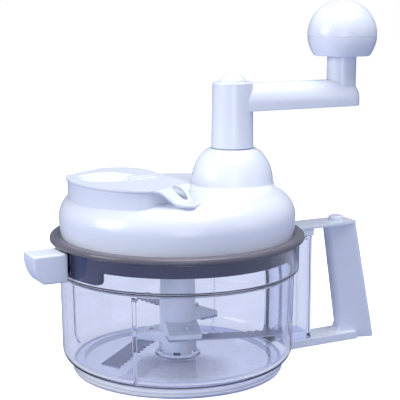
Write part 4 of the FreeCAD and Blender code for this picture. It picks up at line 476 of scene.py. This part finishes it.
def makeSeparator():
    size = {"low": 134.6, "thick": 1.6, "lip": 1.2, "end": 11, "corner": 22, "edge": 0.45, "planLow": 115,
            "planHigh": 140, "play": 0.6, "plugWall": 1.6, "plugLow": 5, "plugSunk": 0.4}
    # the tongue is drawn along X and turned; its plan is x, distance from its middle line and rounding
    tongue = {"turn": 300, "start": 27, "side": -51, "slope": 42, "bend": 5, "drop": 8.6,
              "sag": 1.9, "sheetEnds": (-60, 55.5), "sheetSides": (-110, 60),
              "plan": [(15, -16.5), (28, -15, 8), (38, -9.5, 14), (48.5, -6, 6),
                       (47.5, 8, 6), (38, 10, 12), (26, 18, 10), (15, 20)],
              "holeX": 32, "holeY": -46.5, "holeLong": 5.2, "holeShort": 4.3, "holeLow": 120}
    cup = {"x": -49.45, "y": 8, "radius": 20, "sphere": 29, "wall": 1.3, "sunk": 0.2}
    # the slot goes round the raised bar's end and widens along its side
    bar = {"start": -39.5, "end": -17, "low": -4, "high": 1.5, "rise": 1, "sunk": 0.1, "round": 1.2,
           "edge": 0.4, "slot": 3, "slotLow": 126, "bayX": (-23, -33), "bayY": (3, 11, 7)}

    slope = math.radians(tongue["slope"])
    ease = tongue["bend"] * math.sin(slope)
    dip = tongue["bend"] * (1 - math.cos(slope))
    foot = tongue["start"] + 2 * ease + (tongue["drop"] - 2 * dip) / math.tan(slope)
    footLow = size["low"] - tongue["drop"]
    bend = tongue["bend"]
    fall = arcLine(tongue["start"], size["low"] - bend, bend, 90, 90 - tongue["slope"], 6)
    fall += arcLine(foot, footLow + bend, bend, 270 - tongue["slope"], 270, 6)
    under = [(tongue["sheetEnds"][0], size["low"])] + fall
    under.append((tongue["sheetEnds"][1], footLow - tongue["sag"]))
    over = [(x, z + size["thick"]) for x, z in reversed(under)]
    sheet = slab("separatorSheet", under + over, *tongue["sheetSides"], lie="side")
    turnBy(sheet, tongue["turn"])

    plan = slab("trayPlan", chuteOutline(-size["lip"], size["end"], size["corner"]),
                size["planLow"], size["planHigh"])
    tonguePlan = [(x, tongue["side"] + across, *rounding) for x, across, *rounding in tongue["plan"]]
    arm = slab("tonguePlan", softCorners(tonguePlan, steps=8), size["planLow"], size["planHigh"])
    turnBy(arm, tongue["turn"])
    combine(plan, [arm], "UNION")
    combine(sheet, [plan], "INTERSECT")
    sheet.name = "eggSeparator"
    softenEdges(sheet, size["edge"], 3, 50)

    # the cup's shell hangs under the tray and a ball scoops it out from above
    high = size["low"] + size["thick"]
    ball = high + math.sqrt(cup["sphere"] ** 2 - cup["radius"] ** 2)
    outer = cup["sphere"] + cup["wall"]
    shellTop = size["low"] + cup["sunk"]
    lowTurn = -math.degrees(math.asin((ball - shellTop) / outer))
    dish = turned("cupShell", [(0, shellTop)] + arcLine(0, ball, outer, lowTurn, -90, 20),
                  axis=(cup["x"], cup["y"]), steps=96)
    scoop = turned("cupScoop", arcLine(0, ball, cup["sphere"], -90, -30, 40)
                   + [(0, ball - cup["sphere"] / 2)], axis=(cup["x"], cup["y"]), steps=96)
    gap = chute["wall"] + size["play"]
    plug = slab("trayPlug", chuteOutline(gap, chute["inner"], chute["corner"]),
                size["low"] - size["plugLow"], size["low"] + size["plugSunk"])
    core = slab("plugCore", chuteOutline(gap + size["plugWall"], chute["inner"], chute["corner"]),
                size["low"] - size["plugLow"] - past, size["low"] + past)
    combine(plug, [core], "DIFFERENCE")
    combine(sheet, [plug, dish], "UNION")
    combine(sheet, [scoop], "DIFFERENCE")

    slotEnd = bar["start"] - bar["slot"]
    slot = slab("separatorSlot", softCorners([
        (slotEnd, bar["low"], 0.8), (bar["start"], bar["low"]), (bar["start"], bar["high"]),
        (bar["bayX"][0], bar["high"]), (bar["bayX"][0], bar["bayY"][0]),
        (bar["bayX"][1], bar["bayY"][1], 5), (slotEnd, bar["bayY"][2], 2)]),
        bar["slotLow"], size["planHigh"])
    ring = [math.radians(turn) for turn in range(0, 360, 8)]
    hole = slab("tongueHole", [(tongue["holeX"] + tongue["holeLong"] * math.cos(turn),
                                tongue["holeY"] + tongue["holeShort"] * math.sin(turn)) for turn in ring],
                tongue["holeLow"], size["planHigh"])
    turnBy(hole, tongue["turn"])
    combine(sheet, [slot, hole], "DIFFERENCE")
    raised = slab("raisedBar", boxOutline(bar["start"], bar["end"], bar["low"], bar["high"], bar["round"]),
                  size["low"] + bar["sunk"], high + bar["rise"])
    softenEdges(raised, bar["edge"], 3, 50)
    combine(sheet, [raised], "UNION")
    finishPiece(sheet, whiteAbs, "separator", ["egg_separator"])


makeSeparator()
print("egg separator made")


# ---- push tab

def makeTab():
    size = {"reach": 108.8, "inner": 86, "past": 4, "top": 91.2, "bottom": 71.7, "half": 10.75, "face": 3,
            "tuck": 6.5, "edge": 1.4, "neckLow": 60, "neckHigh": 100}
    # the front face falls in an arc from an upright start to the tuck at its foot
    fall = size["top"] - size["face"] - size["bottom"]
    radius = (size["tuck"] ** 2 + fall ** 2) / (2 * size["tuck"])
    sweep = math.degrees(math.asin(fall / radius))
    face = arcLine(-size["reach"] + radius, size["top"] - size["face"], radius, 180, 180 + sweep, 12)
    root = -size["inner"] + size["past"]
    tab = slab("pushTab", [(-size["reach"], size["top"])] + face
               + [(root, size["bottom"]), (root, size["top"])], -size["half"], size["half"], lie="side")
    neck = turned("tabHollow", uprightCylinder(size["inner"], size["neckLow"], size["neckHigh"]),
                  closed=False)
    combine(tab, [neck], "DIFFERENCE")
    softenEdges(tab, size["edge"], 4, 40)
    finishPiece(tab, whiteAbs, "ring_unit", ["grip_tab"])


makeTab()
print("tab made")


# ---- smoke ring: crowned rim, skirt in the neck and the deep apron at the tab

def makeRing():
    size = {"outer": 88, "top": 95.9, "bottom": 91.8, "inner": 80.2, "skirt": 81.4, "skirtWall": 2.5,
            "skirtBottom": 82, "ledge": 88, "ledgeThick": 2, "ledgeInner": 75}
    apron = {"bottom": 73.6, "turn": 26, "corner": 3.5, "overlap": 2, "wallLow": 70, "shapeTop": 90,
             "shapeX": (-90, -60)}
    stem = {"outer": -90.2, "inner": -80, "half": 5.5, "round": 1, "low": 77, "high": 87}
    skirtInner = size["skirt"] - size["skirtWall"]
    ledgeLow = size["ledge"] - size["ledgeThick"]
    section = softCorners([
        (size["ledgeInner"], ledgeLow, 0.5), (skirtInner, ledgeLow), (skirtInner, size["skirtBottom"], 0.6),
        (size["skirt"], size["skirtBottom"], 0.6), (size["skirt"], size["bottom"]),
        (size["outer"], size["bottom"], 1.4), (size["outer"], size["top"], 2.2),
        (size["inner"], size["top"], 1.3), (size["inner"], size["ledge"]),
        (size["ledgeInner"], size["ledge"], 0.5)], steps=6)
    ring = turned("smokeRing", section, steps=180)

    # the apron is a short cylinder wall, cut to its outline as seen from the tab
    wallHigh = size["skirtBottom"] + apron["overlap"]
    wall = turned("apronWall", [(skirtInner, apron["wallLow"]), (size["skirt"], apron["wallLow"]),
                                (size["skirt"], wallHigh), (skirtInner, wallHigh)], steps=180)
    reach = size["skirt"] * math.sin(math.radians(apron["turn"]))
    shape = slab("apronShape", softCorners([
        (-reach, apron["bottom"], apron["corner"]), (reach, apron["bottom"], apron["corner"]),
        (reach, apron["shapeTop"]), (-reach, apron["shapeTop"])]), *apron["shapeX"], lie="end")
    combine(wall, [shape], "INTERSECT")
    tabStem = slab("tabStem", boxOutline(stem["outer"], stem["inner"], -stem["half"], stem["half"],
                                         stem["round"]), stem["low"], stem["high"])
    combine(ring, [wall, tabStem], "UNION")
    finishPiece(ring, smokeSan, "ring_unit", ["ring_frame"])


makeRing()
print("ring made")


# ---- bowl: clear cup, hollow handle bracket, four stirring ribs and the tab's notch, one moulding

def makeBowl():
    size = {"low": 6.02, "foot": 80.2, "corner": 11, "radius": 81.4, "shoulder": 69.5, "neckLow": 71.9,
            "neckStep": 0.8, "neck": 84.4, "top": 91.5, "wall": 2.4, "floor": 9, "floorCorner": 8}
    boss = {"radius": 8, "top": 12, "seat": 7.57, "pin": 4.03, "ringInner": 14.5, "ringOuter": 15.8,
            "ringRise": 1.6}
    bracket = {"low": 6.2, "top": 84, "reach": 105.3, "half": 10.5, "wall": 2.6, "hollow": 85.2}
    rib = {"turn": 42.5, "half": 1.3, "stand": 1.3, "sunk": 1.2, "toe": 72.5, "low": 7.5, "waist": 17,
           "top": 67, "edge": 0.3}
    notch = {"outer": 87.4, "inner": 79.6, "half": 8, "floor": 76}
    outside = softCorners([(0, size["low"]), (size["foot"], size["low"], size["corner"]),
                           (size["radius"], size["shoulder"], 0.8), (size["neck"], size["neckLow"], 0.8),
                           (size["neck"], size["top"], 0.8), (0, size["top"])], closed=False, steps=8)
    bowl = turned("clearBowl", outside, closed=False, steps=192)
    block = slab("bracketBlock", boxOutline(size["foot"] - size["corner"], bracket["reach"],
                                            -bracket["half"], bracket["half"]),
                 bracket["low"], bracket["top"])
    softenEdges(block, 0.8)
    combine(bowl, [block], "UNION")

    # the cavity leaves the pin's boss and a low ring round it standing on the floor
    deep = size["foot"] - size["wall"]
    inside = size["radius"] - size["wall"]
    neckInner = size["neck"] - size["wall"]
    ringTop = size["floor"] + boss["ringRise"]
    cavity = turned("bowlCavity", softCorners([
        (0, boss["seat"]), (boss["pin"], boss["seat"]), (boss["pin"], boss["top"]),
        (boss["radius"], boss["top"], 0.5), (boss["radius"], size["floor"], 0.5),
        (boss["ringInner"], size["floor"], 0.4), (boss["ringInner"], ringTop, 0.3),
        (boss["ringOuter"], ringTop, 0.3), (boss["ringOuter"], size["floor"], 0.4),
        (deep, size["floor"], size["floorCorner"]), (inside, size["neckLow"], 0.8),
        (neckInner, size["neckLow"] + size["neckStep"], 0.7), (neckInner, size["top"] + past),
        (0, size["top"] + past)], closed=False, steps=8), closed=False, steps=192)
    combine(bowl, [cavity], "DIFFERENCE")

    ribs = []
    for turn in (rib["turn"], -rib["turn"], 180 - rib["turn"], 180 + rib["turn"]):
        fin = slab("stirringRib", [
            (rib["toe"], rib["low"]), (rib["toe"] + rib["stand"], rib["low"]),
            (deep + rib["sunk"], rib["waist"]), (inside + rib["sunk"], rib["top"] + rib["stand"]),
            (inside, rib["top"] + rib["stand"]), (inside - rib["stand"], rib["top"]),
            (deep - rib["stand"], rib["waist"])], -rib["half"], rib["half"], lie="side")
        ribs.append(turnBy(softenEdges(fin, rib["edge"], 2), turn))
    combine(bowl, ribs, "UNION")
    opening = slab("tabNotch", boxOutline(-notch["outer"], -notch["inner"], -notch["half"], notch["half"]),
                   notch["floor"], size["top"] + 2 * past)
    inner = bracket["half"] - bracket["wall"]
    channel = slab("bracketHollow", boxOutline(bracket["hollow"], bracket["reach"] - bracket["wall"],
                                               -inner, inner, 1),
                   bracket["low"] - past, bracket["top"] - bracket["wall"])
    combine(bowl, [opening, channel], "DIFFERENCE")
    finishPiece(bowl, clearSan, "bowl_unit", ["bowl"])


makeBowl()
print("bowl made")


# ---- foot: clear soft disc with a thicker rim and a groove round it

def makeFoot():
    size = {"radius": 73.4, "high": 5.99, "sole": 2.2, "rim": 65.4, "toe": 1, "toeHigh": 1.5, "edge": 0.7,
            "grooveLow": 2.65, "grooveHigh": 3.35, "groove": 0.7}
    grooveIn = size["radius"] - size["groove"]
    foot = turned("softFoot", softCorners([
        (0, 0), (size["radius"] - size["toe"], 0, 0.6), (size["radius"], size["toeHigh"], 0.6),
        (size["radius"], size["grooveLow"], 0.3), (grooveIn, size["grooveLow"], 0.2),
        (grooveIn, size["grooveHigh"], 0.2), (size["radius"], size["grooveHigh"], 0.3),
        (size["radius"], size["high"] - size["edge"], 0.3),
        (size["radius"] - size["edge"], size["high"], 0.3), (size["rim"], size["high"], 0.6),
        (size["rim"], size["sole"], 0.8), (0, size["sole"])], closed=False, steps=6),
        closed=False, steps=180)
    finishPiece(foot, softTpe, "bowl_unit", ["base_foot"])


makeFoot()
print("foot made")


# ---- blade shaft: hollow tapered column with three wings, a sleeve on the pin and a drive hexagon

# before it is turned, a blade lies along X, with its back at -outer and its teeth at -inner in Y
blades = {"first": 18, "step": 7.2, "start": 223, "turn": 120, "thick": 1, "outer": 28, "inner": 13.6,
          "root": 11, "reach": 68.05, "tip": 73.05, "stakeX": 3, "stakeY": -19.5, "stake": 2.24}


def stakeHole(low, high):
    return turned("stakeHole", uprightCylinder(blades["stake"], low, high),
                  axis=(blades["stakeX"], blades["stakeY"]), closed=False, steps=32)


def makeShaft():
    size = {"foot": 10.2, "wide": 13.2, "narrow": 12, "neck": 80, "top": 96.4, "wall": 1.8, "cutLow": 9,
            "bore": 4.06, "pinTop": 34.3, "sleeve": 6.26, "sleeveFoot": 12.3, "draft": 0.4,
            "upperLow": 37.3, "upperTop": 93.4}
    hexagon = {"radius": 5.77, "top": 107.2, "turn": 30}
    wingSize = {"front": 12, "rise": 8, "shoulder": 12, "edge": 3.4, "round": 0.8}
    notch = {"half": 2.5, "low": 8, "high": 12.6}
    shaft = turned("bladeShaft", softCorners([
        (0, size["foot"]), (size["wide"], size["foot"], 0.5), (size["narrow"], size["neck"]),
        (size["narrow"], size["top"], 1), (0, size["top"])], closed=False), closed=False, steps=96)
    corners = arcLine(0, 0, hexagon["radius"], hexagon["turn"], hexagon["turn"] + 360, 6)[:-1]
    added = [slab("driveHexagon", corners, size["top"] - past, hexagon["top"])]
    for index in range(3):
        low = blades["first"] + index * blades["step"] + blades["thick"]
        high = low + wingSize["rise"]
        wing = slab("bladeWing", softCorners([
            (-blades["outer"], low), (0, low), (0, high), (-wingSize["shoulder"], high, 5),
            (-blades["outer"], low + wingSize["edge"], 1)]), -blades["root"], wingSize["front"], lie="end")
        softenEdges(wing, wingSize["round"])
        combine(wing, [stakeHole(low - past, high + past)], "DIFFERENCE")
        added.append(turnBy(wing, blades["start"] + index * blades["turn"]))
    combine(shaft, added, "UNION")

    # hollow from below, but for the sleeve that turns on the pin, and hollow again above the sleeve
    tube = size["wide"] - size["wall"]
    cuts = [turned("sleeveBore", uprightCylinder(size["bore"], size["cutLow"], size["pinTop"]),
                   closed=False, steps=48),
            turned("footHollow", [(0, size["cutLow"]), (tube, size["cutLow"]),
                                  (tube - size["draft"], size["pinTop"]), (size["sleeve"], size["pinTop"]),
                                  (size["sleeve"], size["sleeveFoot"]), (0, size["sleeveFoot"])],
                   closed=False, steps=96),
            turned("upperHollow", uprightCylinder(size["narrow"] - size["wall"], size["upperLow"],
                                                  size["upperTop"]), closed=False, steps=96)]
    for side in range(6):
        gap = slab("footNotch", boxOutline(-notch["half"], notch["half"], notch["low"], notch["high"]),
                   size["wide"] / 2, size["wide"] + 2 * past, lie="end")
        cuts.append(turnBy(gap, 60 * side))
    combine(shaft, cuts, "DIFFERENCE")
    finishPiece(shaft, milkyPp, "blade_unit", ["blade_shaft"])


makeShaft()
print("blade shaft made")


# ---- blades: plain back, pointed tip and a row of teeth

def makeBlades():
    size = {"count": 10, "first": 17, "pitch": 5.6, "bite": 3, "point": 0.3, "gullet": 0.7, "round": 0.3,
            "edge": 0.12}
    # the outline runs along the back to the tip and returns along the teeth
    outline = [(-blades["root"], -blades["outer"]), (blades["reach"], -blades["outer"]),
               (blades["tip"], -blades["inner"])]
    reach = size["pitch"] / 2 - size["point"]
    deep = -blades["inner"] - size["bite"]
    for tooth in reversed(range(size["count"])):
        middle = size["first"] + tooth * size["pitch"]
        outline += [(middle + reach, -blades["inner"]), (middle + size["gullet"], deep + size["round"]),
                    (middle, deep), (middle - size["gullet"], deep + size["round"]),
                    (middle - reach, -blades["inner"])]
    outline.append((-blades["root"], -blades["inner"]))
    sheet = slab("blade", outline, 0, blades["thick"])
    combine(sheet, [stakeHole(-past, blades["thick"] + past)], "DIFFERENCE")
    softenEdges(sheet, size["edge"], 2, 60)
    for index, name in enumerate(["lower", "middle", "upper"]):
        blade = twin(sheet, name + "Blade")
        shiftBy(blade, 0, 0, blades["first"] + index * blades["step"])
        turnBy(blade, blades["start"] + index * blades["turn"])
        finishPiece(blade, bladeSteel, "blade_unit", ["blade_" + name])
    bpy.data.objects.remove(sheet)


makeBlades()
print("blades made")


# ---- carried-over parts keep their shape and take a finish

def dressNode(names, finish):
    for name in names:
        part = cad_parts[name]
        part.data.materials.clear()
        part.data.materials.append(finish)


dressNode(["handle", "handle_strap", "handle_cap", "crank_arm", "crank_cap", "knob_top", "knob_base"],
          whiteAbs)
dressNode(["pivot_pin", "handle_screw", "cover_screws", "crank_spindle", "crank_screw", "knob_pin",
           "blade_rivets"], turnedSteel)
dressNode(["gear_cover"], whiteAbs)
dressNode(["crank_bush", "drive_gear", "drive_pinion"], naturalPom)
print("finishes given to the carried-over parts")


# ---- floor, light and camera

def makeFloor():
    # seen directly or through the bowl the paper is bright, as a reflector it is a dimmer table
    tones = {"paper": "#eef1f8", "table": "#8a93b4", "direct": 0.87, "through": 1.05}
    deselectAll()
    bpy.ops.mesh.primitive_plane_add(size=8, location=(0, 0, 0))
    floor = bpy.context.object
    floor.name = "floor"
    finish, tree = newFinish("White paper sweep")
    ray = addNode(tree, "ShaderNodeLightPath")
    tone = blendColours(tree, tones["table"], tones["paper"], ray.outputs["Is Camera Ray"])
    paper = addNode(tree, "ShaderNodeBsdfDiffuse", {}, {"Color": tone})
    amount = mathNode(tree, "MULTIPLY", ray.outputs["Is Camera Ray"], tones["direct"])
    lift = addNode(tree, "ShaderNodeEmission", {"Color": linearColour("#ffffff")}, {"Strength": amount})
    bright = addNode(tree, "ShaderNodeAddShader")
    tree.links.new(paper.outputs["BSDF"], bright.inputs[0])
    tree.links.new(lift.outputs["Emission"], bright.inputs[1])
    glow = addNode(tree, "ShaderNodeEmission",
                   {"Color": linearColour("#ffffff"), "Strength": tones["through"]})
    surface = mixShaders(tree, bright.outputs["Shader"], glow.outputs["Emission"],
                         ray.outputs["Is Transmission Ray"])
    addNode(tree, "ShaderNodeOutputMaterial", {}, {"Surface": surface})
    floor.data.materials.append(finish)


def makeRoom():
    # white for what the camera sees itself or low down through the bowl, cool and dim for the rest
    tones = {"room": "#c4d6f2", "dim": 0.28, "fullBelow": 0.3, "goneAbove": 0.5}
    world = bpy.data.worlds.new("Studio")
    bpy.context.scene.world = world
    world.use_nodes = True
    tree = world.node_tree
    tree.nodes.clear()
    ray = addNode(tree, "ShaderNodeLightPath")
    place = addNode(tree, "ShaderNodeTexCoord")
    height = addNode(tree, "ShaderNodeSeparateXYZ", {}, {"Vector": place.outputs["Generated"]})
    lowSky = addNode(tree, "ShaderNodeMapRange",
                     {"From Min": tones["fullBelow"], "From Max": tones["goneAbove"],
                      "To Min": 1.0, "To Max": 0.0},
                     {"Value": height.outputs["Z"]})
    through = mathNode(tree, "MULTIPLY", ray.outputs["Is Transmission Ray"], lowSky.outputs["Result"])
    seen = mathNode(tree, "MAXIMUM", ray.outputs["Is Camera Ray"], through)
    room = addNode(tree, "ShaderNodeBackground",
                   {"Color": linearColour(tones["room"]), "Strength": tones["dim"]})
    white = addNode(tree, "ShaderNodeBackground", {"Color": linearColour("#ffffff"), "Strength": 1.0})
    view = mixShaders(tree, room.outputs["Background"], white.outputs["Background"], seen)
    addNode(tree, "ShaderNodeOutputWorld", {}, {"Surface": view})


def addLamp(name, place, aim, size, power):
    # places and size in metres, power in watts
    lamp = bpy.data.lights.new(name, "AREA")
    lamp.size = size
    lamp.energy = power
    holder = bpy.data.objects.new(name, lamp)
    holder.location = place
    holder.rotation_euler = (Vector(aim) - Vector(place)).to_track_quat("-Z", "Y").to_euler()
    bpy.context.scene.collection.objects.link(holder)


def addCamera():
    # distances in metres, lens and sensor in millimetres, angles in degrees
    size = {"lens": 103.41, "sensor": 36, "place": (-0.3541, -0.6950, 0.258), "down": 10.2, "aside": 28.15}
    lens = bpy.data.cameras.new("mainCamera")
    lens.lens = size["lens"]
    lens.sensor_width = size["sensor"]
    camera = bpy.data.objects.new("mainCamera", lens)
    camera.location = size["place"]
    camera.rotation_euler = (math.radians(90 - size["down"]), 0, math.radians(-size["aside"]))
    bpy.context.scene.collection.objects.link(camera)
    bpy.context.scene.camera = camera


makeFloor()
makeRoom()
addLamp("overheadBox", (0.1, -0.2, 1.2), (0, 0, 0.12), 0.9, 14.0)
addLamp("leftBox", (-1.35, 0.1, 0.6), (0, 0, 0.12), 0.7, 10.5)
addLamp("rightBox", (0.9, -1.0, 0.5), (0.03, 0, 0.12), 0.6, 1.5)
addLamp("lowBox", (-0.35, -1.0, 0.22), (0, 0, 0.03), 0.4, 1.7)
addCamera()
bpy.context.scene.view_settings.view_transform = "Standard"
print("studio ready")
